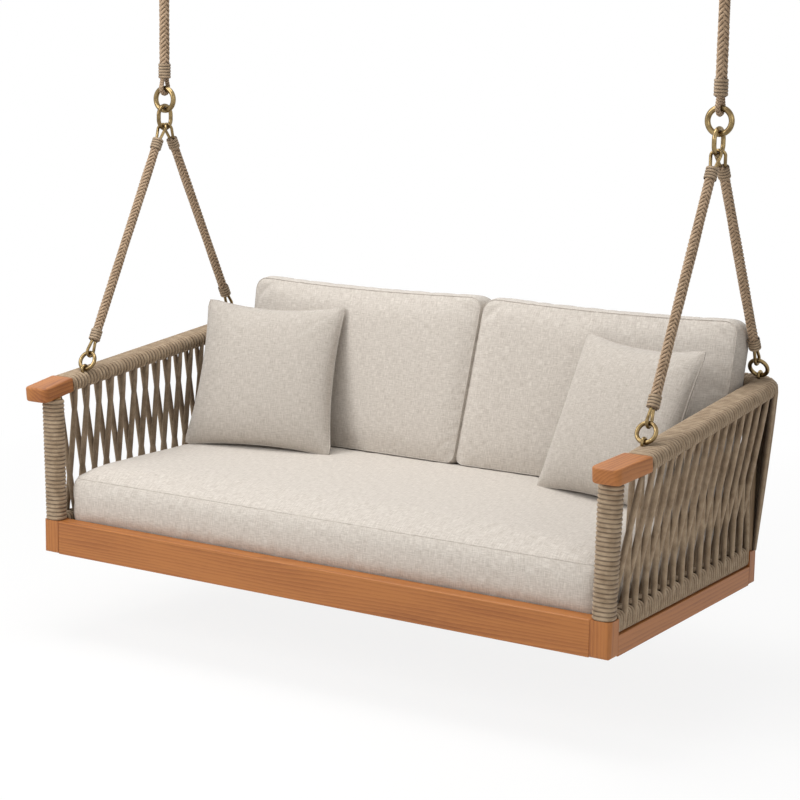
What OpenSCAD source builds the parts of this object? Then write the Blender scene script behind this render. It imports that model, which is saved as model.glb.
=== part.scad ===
// Hanging swing bed: a wooden base and a rope-wound U rail with laced panels,
// hung from the ceiling by two ropes that each part into a front and a rear leg.
// Millimetres. X runs along the bed, +Y to its back, +Z up. The origin lies on the
// ceiling, midway between the two ceiling plates.

/* [Base frame] */
// Length of the base over its corner blocks
base_len = 1900; // [1700:10:2100]
// Depth of the base over its corner blocks
base_depth = 940; // [880:10:1040]
// Height of the front rail and of the corner blocks
front_rail_h = 100; // [90:1:130]
// Height of the side rails and of the back rail
side_rail_h = 57; // [50:1:64]
// Thickness of the base rails
rail_t = 50; // [40:1:56]
// Length of a corner block along the bed
block_w = 58; // [56:1:70]
// Radius on the upright outer edges of the corner blocks
block_r = 14; // [4:1:18]
// Radius on the lower outer edges of the corner blocks
block_foot_r = 10; // [4:1:16]
// Depth of the rail tenons in the corner blocks
tenon_len = 22; // [12:1:24]

/* [Slatted base] */
// Number of slats
slat_count = 14; // [8:1:18]
// Width of a slat
slat_w = 82; // [50:1:90]
// Thickness of a slat
slat_t = 18; // [12:1:22]
// Side of the square ledger that carries the slats
ledger_s = 25; // [20:1:30]
// Width of the centre beam
beam_w = 40; // [30:1:60]
// Shank diameter of a slat screw
screw_d = 4; // [3:0.5:5]

/* [Top rail] */
// Width of the wound top rail
top_rail_w = 84; // [76:1:96]
// Thickness of the wound top rail
top_rail_h = 44; // [40:1:52]
// Rise of the top rail towards the back
rail_slope = 5.71; // [0:0.01:8]
// Height of the rail's top face at the rear end of the arm caps
rail_top_z = 520; // [480:5:560]
// Distance of the rail's centreline outside the base's end face
rail_out = 10; // [0:1:16]
// Centreline radius of the rail's rear corners
corner_r = 60; // [55:1:80]
// How far the rail's back centreline lies behind the base's back face
rail_behind = 3; // [0:1:12]
// Length of a bare arm cap
cap_len = 150; // [120:1:170]
// How far an arm cap stands out in front of the base
cap_front = 44; // [30:1:60]
// How far the front end of an arm cap turns inwards
cap_toe = 22; // [0:1:26]
// Radius on the front corners of an arm cap
cap_r = 18; // [8:1:24]
// Bevel round the top and lower edges of an arm cap
cap_bevel = 5; // [2:0.5:8]

/* [Rope work] */
// Thickness of the rope wound and laced on the frame
lace_d = 11; // [9:0.5:12]
// Distance from one laced strand to the next
lace_pitch = 55.7; // [45:0.1:70]
// Turns of rope on a front post
post_turns = 24; // [12:1:24]
// Diameter of a wound lower bar
bar_wound_d = 58; // [54:1:62]

/* [Posts] */
// Width of a front post's core
post_w = 36; // [32:1:40]
// Depth of a front post's core
post_d = 28; // [24:1:30]
// Bevel on the edges of a front post's core
post_bevel = 7; // [4:0.5:9]
// Diameter of a rear post
rear_post_d = 30; // [24:1:34]

/* [Suspension] */
// Height from the base's underside to the ceiling
drop = 1860; // [1800:10:2200]
// Distance of the hanging line from the base's front face
hang_y = 569; // [540:1:600]
// Height of the apex links' lower centre above the base's underside
apex_z = 1277.5; // [1200:0.5:1320]
// Distance of the front eye bolts from the base's front face
front_eye_y = 180; // [160:1:240]
// Distance of the rear eye bolts from the base's front face
rear_eye_y = 929.4; // [840:0.1:932]
// Distance of the hanging planes inside the rail's centreline
hang_in = 22; // [14:1:24]
// Diameter of a leg rope
leg_d = 28; // [22:1:32]
// Diameter of an upper rope
rope_d = 34; // [28:1:36]
// Thickness of the cord in a whipping
whip_t = 2.5; // [2:0.5:4]
// Length of a leg whipping
leg_whip_len = 34; // [24:1:50]
// Length of an upper whipping
rope_whip_len = 45; // [30:1:60]
// Wire diameter of a thimble
thimble_wire = 9.5; // [8:0.5:10]
// Outer width of a thimble
thimble_w = 38; // [34:1:42]
// Visible length of a thimble
thimble_len = 56; // [50:1:70]
// Wire diameter of an arm ring
arm_ring_wire = 12; // [8:0.5:12]
// Outer diameter of an arm ring
arm_ring_d = 65; // [60:1:80]
// Wire diameter of an apex link
link_wire = 13; // [10:0.5:14]
// Outer width of an apex link
link_w = 72; // [70:1:84]
// Outer height of an apex link
link_h = 84; // [82:1:110]
// Wire diameter of a top ring
ring_wire = 16; // [12:0.5:16]
// Outer diameter of a top ring
ring_d = 85; // [80:1:96]

/* [Eye bolts] */
// Outer diameter of the eye
eye_d = 33; // [32:0.5:40]
// Wire diameter of the eye
eye_wire = 9; // [7:0.5:9]
// Diameter of the eye bolt's shank
eye_shank_d = 8; // [6:1:10]
// Height of the eye's centre above the rail's top face
eye_up = 6; // [6:0.5:14]
// Width of the eye bolt's nut across its flats
nut_af = 13; // [12:1:17]

/* [Ceiling fittings] */
// Length of a ceiling plate
plate_len = 120; // [100:5:160]
// Width of a ceiling plate
plate_w = 60; // [54:1:80]
// Thickness of a ceiling plate
plate_t = 8; // [6:0.5:10]
// Distance between the two bolts of a ceiling plate
bolt_span = 84; // [76:1:84]
// Diameter of the ceiling bolt holes
bolt_d = 10.5; // [8:0.5:12]
// Depth of the clevis pin below the ceiling
pin_down = 30; // [28:1:34]
// Diameter of the clevis pin
pin_d = 10; // [8:0.5:12]
// Thickness of a clevis ear
ear_t = 6; // [5:0.5:8]
// Wire diameter of a hanger eye's ring
hanger_wire = 12; // [10:0.5:12]
// Outer diameter of a hanger eye's ring
hanger_ring_d = 56; // [56:1:70]

/* [Cushions] */
// Thickness of the seat cushion between its seams
seat_h = 150; // [100:5:160]
// Rise of the seat cushion's crown
seat_crown = 38; // [10:1:50]
// Distance of the seat cushion's front from the base's front face
seat_front = 58; // [52:1:80]
// Width of the left back cushion at its top
back_left_w = 850; // [600:10:880]
// Width of the right back cushion at its top
back_right_w = 808; // [600:10:820]
// Height of a back cushion
back_h = 518; // [400:10:560]
// Greatest thickness of a back cushion
back_t = 122; // [80:2:124]
// Lean of the back cushions
back_lean = 8.3; // [4:0.1:10]
// How far the seam between the back cushions leans over
inner_lean = 54; // [0:1:70]
// How far the outer edge of the right back cushion leans out with its height
outer_lean = 26; // [0:1:40]
// Side of a loose pillow
pillow_s = 476; // [400:2:500]
// Greatest thickness of a loose pillow
pillow_t = 122; // [80:2:130]
// Lean of the loose pillows
pillow_lean = 20; // [16:0.5:24]

/* [Hidden] */
$fn = 64;
left = -1;
right = 1;

// Clearances
seat_gap = 0.1;      // between taut rings that bear on each other in one body
pivot_gap = 0.3;     // between rings of two bodies that turn on each other
pin_gap = 0.05;      // radial clearance of the clevis pin in the hanger eye
soft_gap = 0.3;      // between cushions and their neighbours
lace_gap = 0.25;     // between the ends of laced strands and what they meet
ear_gap = 0.5;       // each side of the hanger eye between the clevis ears
wind_gap = 0.2;      // between the post's core and its winding
turn_gap = 0.5;      // between one turn of the winding and the next

// Base
half_len = base_len / 2;
rail_len = base_len - 2 * block_w;
block_x = half_len - block_w / 2;
block_back_y = base_depth - rail_t;
end_rail_len = base_depth - 2 * rail_t;
tenon_t = 0.36 * rail_t;
tenon_edge = 12;
post_tenon_h = 34;

// Lower bars, tangent to the base's outer faces, on the rails' top faces
bar_r = bar_wound_d / 2;
bar_core_r = bar_r - lace_d;
bar_z = side_rail_h + bar_r;
bar_x = half_len - bar_r;
bar_y = base_depth - bar_r;
spigot_r = min(9, front_rail_h - bar_z - 2);
spigot_len = 8;

// Top rail, in its own sloping frame: w = 0 on its top face, v = 0 at the caps' rear
rail_x = half_len + rail_out;
cap_rear_y = cap_len * cos(rail_slope) - cap_front;
back_v = (base_depth + rail_behind - cap_rear_y) / cos(rail_slope);
arc_v = back_v - corner_r;
arc_x = rail_x - corner_r;
core_w = top_rail_w - 2 * lace_d;
core_h = top_rail_h - 2 * lace_d;
wound_edge_r = 12;
core_edge_r = 3;
cap_tenon_w = 36;
cap_tenon_h = 14;
cap_tenon_len = 45;
dowel_d = 8;
dowel_len = 60;
dowel_gap = 14;

// Posts
post_x = block_x;
post_y = rail_t / 2;
post_stub_r = 8;
post_stub_h = 20;
rear_post_x = half_len - 20;
rear_post_y = base_depth - 24;

// Winding of a front post
wind_r = lace_d / 2;
wind_off = wind_r + wind_gap;
wind_x = post_w / 2 + wind_off;
wind_y = post_d / 2 + wind_off;
wind_cut = post_w / 2 + post_d / 2 - post_bevel + wind_off * sqrt(2);
wind_path = [
    [wind_x, wind_cut - wind_x], [wind_cut - wind_y, wind_y],
    [wind_y - wind_cut, wind_y], [-wind_x, wind_cut - wind_x],
    [-wind_x, wind_x - wind_cut], [wind_y - wind_cut, -wind_y],
    [wind_cut - wind_y, -wind_y], [wind_x, wind_x - wind_cut]
];
wind_sides = 6;
wind_rings = len(wind_path) * post_turns;

// Height of the arms' underside above a point of the base
function under_z(y) = rail_top_z + (y - cap_rear_y) * tan(rail_slope)
    - top_rail_h / cos(rail_slope);
post_top_z = under_z(0);
wind_low = front_rail_h + turn_gap;
wind_rise = post_top_z - turn_gap - wind_low;
wind_step = (wind_rise + turn_gap) / (post_turns + 1);
wind_tall = wind_step - turn_gap;

// Suspension, seen in the plane of one side
hang_x = rail_x - hang_in;
function eye_v(y) = (y - cap_rear_y + eye_up * sin(rail_slope)) / cos(rail_slope);
function eye_z(y) = rail_top_z + eye_v(y) * sin(rail_slope) + eye_up * cos(rail_slope);
eye_mean = (eye_d - eye_wire) / 2;
arm_mean = (arm_ring_d - arm_ring_wire) / 2;
thimble_mean = (thimble_w - thimble_wire) / 2;
link_mean = (link_w - link_wire) / 2;
ring_mean = (ring_d - ring_wire) / 2;
hanger_mean = (hanger_ring_d - hanger_wire) / 2;

// Distances up a leg from the centre of its eye bolt
arm_low = eye_mean - eye_wire / 2 - arm_ring_wire / 2 - seat_gap;
arm_mid = arm_low + arm_mean;
hook = arm_ring_wire / 2 + thimble_wire / 2 + seat_gap;
low_thimble = arm_mid + arm_mean - hook + thimble_mean;
rope_start = low_thimble - thimble_mean - thimble_wire / 2 + thimble_len;
// Distances down a leg from the apex link's lower centre
link_hook = link_wire / 2 + thimble_wire / 2 + seat_gap;
top_thimble = link_mean - link_hook + thimble_mean;
rope_end = top_thimble - thimble_mean - thimble_wire / 2 + thimble_len;

// Upright line of each side
link_up = link_h - link_w;
ring_low_z = apex_z + link_up + link_mean - link_wire / 2 - ring_wire / 2 - pivot_gap;
ring_z = ring_low_z + ring_mean;
loop_wire = 16;
loop_mean = 17;
loop_hook_low = ring_wire / 2 + loop_wire / 2 + pivot_gap;
loop_low_z = ring_z + ring_mean - loop_hook_low + loop_mean;
loop_run = 30;
rope_low_z = loop_low_z + loop_run;
pin_z = drop - pin_down;
boss_d = pin_d + 16;
boss_len = 20;
boss_sink = 5;
hanger_z = pin_z - boss_d / 2 - hanger_ring_d / 2 + boss_sink;
hanger_low_z = hanger_z - hanger_mean;
loop_hook_top = hanger_wire / 2 + loop_wire / 2 + pivot_gap;
loop_top_z = hanger_low_z + loop_hook_top - loop_mean;
rope_top_z = loop_top_z - loop_run;
ear_in = boss_len / 2 + ear_gap;
ear_w = 26;
pin_head = 4;
pin_tail = 8;
split_d = 2.5;
split_len = 18;

// Lacing: outer strands run down and back by half a pitch, inner ones up again
lace_count_side = floor(end_rail_len / lace_pitch);
lace_step_side = end_rail_len / lace_count_side;
lace_count_back = floor(rail_len / lace_pitch);
lace_step_back = rail_len / lace_count_back;
lace_first = 0.3;
lace_top = top_rail_w / 2 - lace_d / 2;
lace_low = bar_r - lace_d / 2;
lace_low_z = bar_z + 2;
corner_angles = [25, 65];
corner_foot = 22;

// Seat
slat_z = side_rail_h;
seat_z = slat_z + slat_t;
seat_seam_z = seat_z + seat_h;
slat_back = bar_y - sqrt(pow(bar_r, 2) - pow(bar_z - seat_z, 2)) - 4;
slat_len = slat_back - rail_t - 1;
slat_span = base_len - 2 * rail_t - slat_w - 20;
seat_len = 2 * (bar_x - bar_r) - 14;
seat_depth = bar_y - bar_r - 10 - seat_front;
seat_r = 34;
back_r = 30;
pillow_r = 10;
back_low_z = seat_seam_z + 0.855 * seat_crown + soft_gap;

// The back cushions lean on the inner top edge of the back rail, where their crown
// has fallen off by a little
crown_fall = 3;
back_face_y = base_depth + rail_behind - top_rail_w / 2;
back_edge_z = rail_top_z + (back_face_y - cap_rear_y) * tan(rail_slope);
back_low_y = back_face_y + crown_fall - back_t / 2 / cos(back_lean)
    - (back_edge_z - back_low_z) * tan(back_lean);
back_seam_x = 99;
back_gap = 5;

// The pillows stand on the seat's crown and lean with one upper corner on the back
pillow_low_z = seat_seam_z + seat_crown;
pillow_top = pillow_s * cos(pillow_lean);
pillow_yaw = [13.5, -13];
pillow_x = [-579, 604];
pillow_corner = 0.1 * pillow_t;
pillow_y = [for (yaw = pillow_yaw) back_low_y - back_t / 2 / cos(back_lean)
    + (pillow_low_z + pillow_top - back_low_z) * tan(back_lean)
    - pillow_s * sin(pillow_lean) * cos(yaw) - pillow_s / 2 * sin(abs(yaw))
    - pillow_corner - soft_gap];

// From the base's own measures (front face, underside) to the ceiling's
module place() translate([0, -hang_y, -drop]) children();

// The sloping frame of the top rail
module on_slope()
    translate([0, cap_rear_y, rail_top_z]) rotate([rail_slope, 0, 0]) children();

// Mirrors what is drawn for the right side to the left
module side(s) mirror([s == left ? 1 : 0, 0, 0]) children();

// A round bar from point a to point b
module strut(a, b, r) {
    d = b - a;
    translate(a)
        rotate([0, acos(d[2] / norm(d)), atan2(d[1], d[0])])
            cylinder(h = norm(d), r = r);
}

// A rectangle with its centre at the origin and round corners
module round_rect(w, h, r) {
    square([w - 2 * r, h], center = true);
    square([w, h - 2 * r], center = true);
    for (x = [-1, 1], y = [-1, 1])
        translate([x * (w / 2 - r), y * (h / 2 - r)]) circle(r = r);
}

// A rectangle from the origin, with one round corner at its far end in x
module one_round(w, h, r) {
    square([w - r, h]);
    translate([0, r]) square([w, h - r]);
    translate([w - r, r]) circle(r = r);
}

// ---- Ceiling fittings

module at_hang(s) place() side(s) translate([hang_x, hang_y, 0]) children();

module ceiling_plate(s) color("#8f7a4a") at_hang(s) {
    translate([0, 0, drop - plate_t]) difference() {
        linear_extrude(plate_t) round_rect(plate_w, plate_len, 8);
        for (y = [-1, 1])
            translate([0, y * bolt_span / 2, -1])
                cylinder(h = plate_t + 2, d = bolt_d);
    }
    for (x = [-1, 1])
        translate([x * (ear_in + ear_t / 2), 0, pin_z])
            rotate([0, 90, 0]) translate([0, 0, -ear_t / 2]) difference() {
                union() {
                    cylinder(h = ear_t, d = ear_w);
                    translate([plate_t - pin_down, -ear_w / 2, 0])
                        cube([pin_down - plate_t, ear_w, ear_t]);
                }
                translate([0, 0, -1]) cylinder(h = ear_t + 2, d = pin_d);
            }
}

pin_in = ear_in + ear_t;

module clevis_pins() color("#c9a961")
    for (s = [left, right]) at_hang(s) translate([0, 0, pin_z]) rotate([0, 90, 0])
        difference() {
            union() {
                translate([0, 0, -pin_in]) cylinder(h = 2 * pin_in + pin_tail, d = pin_d);
                translate([0, 0, -pin_in - pin_head])
                    cylinder(h = pin_head, d = pin_d + 6);
            }
            translate([-pin_d, 0, pin_in + pin_tail / 2]) rotate([0, 90, 0])
                cylinder(h = 2 * pin_d, d = split_d);
        }

module split_pins() color("#c9a961")
    for (s = [left, right]) at_hang(s)
        translate([pin_in + pin_tail / 2, 0, pin_z - split_len / 2])
            cylinder(h = split_len, d = split_d);

module hanger_eye(s) color("#c9a961") at_hang(s) difference() {
    union() {
        translate([0, 0, hanger_z]) rotate([0, 90, 0])
            rotate_extrude() translate([hanger_mean, 0]) circle(d = hanger_wire);
        translate([-boss_len / 2, 0, pin_z]) rotate([0, 90, 0])
            cylinder(h = boss_len, d = boss_d);
    }
    translate([-boss_len, 0, pin_z]) rotate([0, 90, 0])
        cylinder(h = 2 * boss_len, d = pin_d + 2 * pin_gap);
}

// ---- Ropes

// Half-angle by which the sides of a loop close from half-width m to half-width e
function close_angle(m, e, run) =
    2 * atan((run - sqrt(run * run - m * m + e * e)) / (m + e));

// A teardrop loop: its round end points down, its sides close over the given run
// and go on by sink, which is negative where they stop short of it
module loop(mean, wire, run, end, sink) {
    a = close_angle(mean, end, run);
    side_len = (run - mean * sin(a)) / cos(a) + sink;
    rotate([90, 0, 0]) rotate([0, 0, 180 - a])
        rotate_extrude(angle = 180 + 2 * a) translate([mean, 0]) circle(d = wire);
    for (m = [0, 1]) mirror([m, 0, 0])
        translate([mean * cos(a), 0, mean * sin(a)]) rotate([0, -a, 0])
            translate([0, 0, -loop_lap]) cylinder(h = side_len + loop_lap, d = wire - loop_lap / 5);
}
loop_lap = 0.5;

module upper_rope(s) color("#b9a68c") at_hang(s) {
    end = (rope_d - loop_wire) / 2;
    translate([0, 0, rope_low_z]) cylinder(h = rope_top_z - rope_low_z, d = rope_d);
    translate([0, 0, loop_low_z]) rotate([0, 0, 90])
        loop(loop_mean, loop_wire, loop_run, end, loop_wire / 2);
    translate([0, 0, loop_top_z]) rotate([180, 0, 0])
        loop(loop_mean, loop_wire, loop_run, end, loop_wire / 2);
}

module whipping(z, d, h) translate([0, 0, z]) difference() {
    cylinder(h = h, d = d + 2 * whip_t);
    translate([0, 0, -1]) cylinder(h = h + 2, d = d);
}

module upper_whippings(s) color("#b29d80") at_hang(s) {
    whipping(rope_low_z, rope_d, rope_whip_len);
    whipping(rope_top_z - rope_whip_len, rope_d, rope_whip_len);
}

module top_ring(s) color("#cdb06a") at_hang(s)
    translate([0, 0, ring_z]) rotate([90, 0, 0])
        rotate_extrude() translate([ring_mean, 0]) circle(d = ring_wire);

module apex_link(s) color("#cdb06a") at_hang(s) translate([0, 0, apex_z]) rotate([0, 0, 90])
    for (end = [0, 1]) {
        translate([0, 0, end * link_up]) rotate([90, 0, 0])
            rotate([0, 0, 180 - end * 180])
                rotate_extrude(angle = 180) translate([link_mean, 0]) circle(d = link_wire);
        if (link_up > 0)
            translate([(2 * end - 1) * link_mean, 0, 0])
                cylinder(h = link_up, d = link_wire);
    }

// Distance and lean of the leg from the eye at y to the apex link
function leg_len(y) = norm([hang_y - y, apex_z - eye_z(y)]);
function leg_lean(y) = atan2(hang_y - y, apex_z - eye_z(y));

// Puts what follows up the leg, with z = 0 at the centre of its eye
module on_leg(s, y) place() side(s)
    translate([hang_x, y, eye_z(y)]) rotate([-leg_lean(y), 0, 0]) children();

thimble_run = thimble_len - thimble_mean - thimble_wire / 2;
thimble_end = leg_d / 4;
thimble_tilt = close_angle(thimble_mean, thimble_end, thimble_run);
thimble_short = -thimble_wire / 2 * tan(thimble_tilt) - pivot_gap;

module leg_thimbles() color("#cdb06a")
    for (s = [left, right], y = [front_eye_y, rear_eye_y]) on_leg(s, y) {
        translate([0, 0, low_thimble]) rotate([0, 0, 90])
            loop(thimble_mean, thimble_wire, thimble_run, thimble_end, thimble_short);
        translate([0, 0, leg_len(y) - top_thimble]) rotate([180, 0, 0])
            loop(thimble_mean, thimble_wire, thimble_run, thimble_end, thimble_short);
    }

module leg_rope(s, y) color("#b9a68c") on_leg(s, y)
    translate([0, 0, rope_start])
        cylinder(h = leg_len(y) - rope_end - rope_start, d = leg_d);

module leg_whippings() color("#b29d80")
    for (s = [left, right], y = [front_eye_y, rear_eye_y]) on_leg(s, y) {
        whipping(rope_start, leg_d, leg_whip_len);
        whipping(leg_len(y) - rope_end - leg_whip_len, leg_d, leg_whip_len);
    }

module arm_rings() color("#cdb06a")
    for (s = [left, right], y = [front_eye_y, rear_eye_y]) on_leg(s, y)
        translate([0, 0, arm_mid]) rotate([90, 0, 0])
            rotate_extrude() translate([arm_mean, 0]) circle(d = arm_ring_wire);

// ---- Eye bolts in the top rail

washer_t = 2;
washer_d = nut_af + 6;
nut_t = 6.5;
nut_r = nut_af / 2 / cos(30);
shank_end = 1;
under_core = -lace_d - core_h;

module at_eye(s, y) place() side(s) on_slope()
    translate([hang_x, eye_v(y), 0]) children();

module eye_bolts() color("#c4a660")
    for (s = [left, right], y = [front_eye_y, rear_eye_y]) at_eye(s, y) {
        translate([0, 0, eye_up]) rotate([0, 90, 0])
            rotate_extrude() translate([eye_mean, 0]) circle(d = eye_wire);
        translate([0, 0, under_core - washer_t - nut_t - shank_end])
            cylinder(h = eye_up - eye_mean - under_core + washer_t + nut_t + shank_end,
                d = eye_shank_d);
    }

module eye_bolt_washers() color("#a8a8a4")
    for (s = [left, right], y = [front_eye_y, rear_eye_y]) at_eye(s, y)
        translate([0, 0, under_core - washer_t]) difference() {
            cylinder(h = washer_t, d = washer_d);
            translate([0, 0, -1]) cylinder(h = washer_t + 2, d = eye_shank_d);
        }

module eye_bolt_nuts() color("#a8a8a4")
    for (s = [left, right], y = [front_eye_y, rear_eye_y]) at_eye(s, y)
        translate([0, 0, under_core - washer_t - nut_t]) difference() {
            cylinder(h = nut_t, r = nut_r, $fn = 6);
            translate([0, 0, -1]) cylinder(h = nut_t + 2, d = eye_shank_d);
        }

// Room in the core for the shanks, and in the winding for the eye and the nut
module shank_holes()
    for (y = [front_eye_y, rear_eye_y])
        translate([hang_x, eye_v(y), under_core - 1])
            cylinder(h = core_h + 2, d = eye_shank_d);

module eye_pockets()
    for (y = [front_eye_y, rear_eye_y]) translate([hang_x, eye_v(y), 0]) {
        translate([-eye_wire / 2 - seat_gap, -eye_d / 2 - seat_gap, -lace_d - 1])
            cube([eye_wire + 2 * seat_gap, eye_d + 2 * seat_gap, lace_d + 2]);
        translate([0, 0, under_core - lace_d - 1])
            cylinder(h = lace_d + 2, d = washer_d + 2 * seat_gap);
    }

// ---- Base

module corner_block(depth_out) intersection() {
    linear_extrude(front_rail_h) translate([0, rail_t / 2]) scale([1, depth_out])
        translate([0, -rail_t / 2]) one_round(block_w, rail_t, block_r);
    translate([0, rail_t + 1, 0]) rotate([90, 0, 0])
        linear_extrude(rail_t + 2) one_round(block_w, front_rail_h, block_foot_r);
    translate([-1, rail_t / 2, 0]) scale([1, depth_out, 1])
        translate([0, rail_t / 2, 0]) rotate([90, 0, 90])
            linear_extrude(block_w + 2) mirror([1, 0])
                one_round(rail_t, front_rail_h, block_foot_r);
}

// The tenons of the base's rails, with the front and back ones below the end ones
module long_tenon(y) for (x = [-1, 1])
    translate([x * (rail_len / 2 + tenon_len / 2), y, side_rail_h / 4 + tenon_edge / 2])
        cube([tenon_len, tenon_t, side_rail_h / 2 - tenon_edge], center = true);

module end_tenon(y) translate([half_len - rail_t / 2, y, side_rail_h * 0.75 - 3])
    cube([tenon_t, 2 * spigot_len, side_rail_h / 2 - 6], center = true);

module bar_spigots() {
    translate([bar_x, rail_t - spigot_len, bar_z]) rotate([-90, 0, 0])
        cylinder(h = end_rail_len + 2 * spigot_len, r = spigot_r);
    translate([-rail_len / 2 - spigot_len, bar_y, bar_z]) rotate([0, 90, 0])
        cylinder(h = rail_len + 2 * spigot_len, r = spigot_r);
}

module block_front() difference() {
    translate([rail_len / 2, 0, 0]) corner_block(1);
    long_tenon(rail_t / 2);
    end_tenon(rail_t);
    bar_spigots();
    translate([post_x, post_y, front_rail_h - post_tenon_h])
        linear_extrude(post_tenon_h + 1) post_foot();
}

module block_rear() difference() {
    translate([rail_len / 2, block_back_y, 0]) corner_block(-1);
    long_tenon(base_depth - rail_t / 2);
    end_tenon(block_back_y);
    bar_spigots();
    translate([rear_post_x, rear_post_y, front_rail_h - post_tenon_h])
        cylinder(h = post_tenon_h + 1, r = rear_post_d / 2 - 4);
}

module corner_block_front_left() color("#b97f4e") place() side(left) block_front();

module corner_block_front_right() color("#b97f4e") place() block_front();

module rear_corner_blocks() color("#b97f4e")
    for (s = [left, right]) place() side(s) block_rear();

module front_rail() color("#bd8352") place() {
    translate([-rail_len / 2, 0, 0]) cube([rail_len, rail_t, front_rail_h]);
    long_tenon(rail_t / 2);
}

module back_rail() color("#bd8352") place() {
    translate([-rail_len / 2, block_back_y, 0]) cube([rail_len, rail_t, side_rail_h]);
    long_tenon(base_depth - rail_t / 2);
}

module side_rail(s) color("#bd8352") place() side(s) {
    translate([half_len - rail_t, rail_t, 0]) cube([rail_t, end_rail_len, side_rail_h]);
    end_tenon(rail_t);
    end_tenon(block_back_y);
}

function slat_x(i) = -slat_span / 2 + i * slat_span / (slat_count - 1);
screw_in = ledger_s / 2;
screw_z = slat_z - 0.7 * ledger_s;

module slat_bores(d) for (i = [0 : slat_count - 1], y = [rail_t + screw_in, ledger_back_y])
    translate([slat_x(i), y, screw_z]) cylinder(h = seat_z - screw_z, d = d);

ledger_back_y = block_back_y - screw_in;

module slats() color("#c89a66") place() difference() {
    for (i = [0 : slat_count - 1])
        translate([slat_x(i) - slat_w / 2, rail_t + 1, slat_z]) cube([slat_w, slat_len, slat_t]);
    slat_bores(screw_d);
}

module slat_ledgers() color("#b88a58") place() difference() {
    for (y = [rail_t, block_back_y - ledger_s])
        translate([-half_len + rail_t + 1, y, slat_z - ledger_s])
            cube([base_len - 2 * rail_t - 2, ledger_s, ledger_s]);
    slat_bores(screw_d);
}

module slat_screws() color("#9a9a96") place() slat_bores(screw_d);

module centre_beam() color("#b88a58") place()
    translate([-half_len + rail_t, base_depth / 2 - beam_w / 2, slat_z - beam_w])
        cube([base_len - 2 * rail_t, beam_w, beam_w]);

// ---- Posts

module bevelled(w, d, c) polygon([
    [w / 2, c - d / 2], [w / 2, d / 2 - c], [w / 2 - c, d / 2], [c - w / 2, d / 2],
    [-w / 2, d / 2 - c], [-w / 2, c - d / 2], [c - w / 2, -d / 2], [w / 2 - c, -d / 2]
]);

module post_foot() bevelled(post_w - 12, post_d - 8, 2);

module post_stub() translate([post_x, post_y, post_top_z - 2])
    cylinder(h = post_stub_h + 2, r = post_stub_r);

module front_post(s) color("#a9774a") place() side(s) {
    difference() {
        translate([post_x, post_y, front_rail_h])
            linear_extrude(rail_top_z - front_rail_h) bevelled(post_w, post_d, post_bevel);
        on_slope() translate([rail_x - top_rail_w, -cap_len - top_rail_w, -top_rail_h])
            cube([2 * top_rail_w, cap_len + 2 * top_rail_w, 2 * top_rail_h]);
    }
    translate([post_x, post_y, front_rail_h - post_tenon_h])
        linear_extrude(post_tenon_h) post_foot();
    post_stub();
}

// Triangles between rows of n points each, every row round the same way
function skin_faces(rows, n) = [
    for (i = [0 : rows - 2], k = [0 : n - 1], half = [0, 1])
        let (a = i * n + k, b = i * n + (k + 1) % n)
        half == 0 ? [a, a + n, b + n] : [a, b + n, b]];

// One turn has a ring of points at each corner of the path, and rises by wind_step
function wind_centre(i) = let (p = wind_path[i % len(wind_path)])
    [p[0], p[1], wind_low + wind_tall / 2 + i * wind_step / len(wind_path)];
function wind_out(i) = let (p = wind_path[i % len(wind_path)])
    [sign(p[0]) * cos(wind_turn(i)), sign(p[1]) * sin(wind_turn(i))];
function wind_turn(i) = (i % 4 == 0 || i % 4 == 3) ? 22.5 : 67.5;
function wind_point(i, k) = let (
        a = 360 * k / wind_sides,
        r = wind_r / cos(22.5) * cos(a),
        z = -wind_tall / 2 / sin(60) * sin(a))
    wind_centre(i) + [r * wind_out(i)[0], r * wind_out(i)[1], z];
wind_points = [for (i = [0 : wind_rings], k = [0 : wind_sides - 1]) wind_point(i, k)];
wind_last = wind_rings * wind_sides;
wind_faces = concat(
    [[for (k = [0 : wind_sides - 1]) k]],
    skin_faces(wind_rings + 1, wind_sides),
    [[for (k = [wind_sides - 1 : -1 : 0]) wind_last + k]]
);
// Least distance between points of one turn and points of the next
wind_least = min([for (i = [0 : wind_rings - len(wind_path)])
    min([for (j = [i + len(wind_path) - 1 : min(i + len(wind_path) + 1, wind_rings)])
        min([for (a = [0 : wind_sides - 1])
            min([for (b = [0 : wind_sides - 1])
                norm(wind_point(i, a) - wind_point(j, b))])])])]);
echo(least_gap_of_the_post_winding = wind_least);

module post_winding(s) color("#c3b298") place() side(s)
    translate([post_x, post_y, 0]) polyhedron(wind_points, wind_faces);

// A rear post, with a recess under the rail for the washer and nut of the rear eye bolt
module rear_post() difference() {
    union() {
        translate([rear_post_x, rear_post_y, front_rail_h])
            cylinder(h = rail_top_z + top_rail_w - front_rail_h, d = rear_post_d);
        translate([rear_post_x, rear_post_y, front_rail_h - post_tenon_h])
            cylinder(h = post_tenon_h, r = rear_post_d / 2 - 4);
    }
    on_slope() {
        translate([0, back_v - 3 * top_rail_w, under_core])
            cube([2 * rail_x, 6 * top_rail_w, 6 * top_rail_w]);
        translate([hang_x, eye_v(rear_eye_y), under_core - washer_t - nut_t - 2 * shank_end])
            cylinder(h = washer_t + nut_t + 2 * shank_end + 1, d = washer_d + 2 * seat_gap);
    }
}

module rear_posts() color("#a9774a") for (s = [left, right]) place() side(s) rear_post();

// ---- Top rail

// The arm's run and its quarter bend, for a section drawn round the origin
module arm_run() {
    translate([rail_x, arc_v, -top_rail_h / 2]) rotate([90, 0, 0])
        linear_extrude(arc_v) children();
    translate([arc_x, arc_v, -top_rail_h / 2])
        rotate_extrude(angle = 90) translate([corner_r, 0]) children();
}

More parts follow.
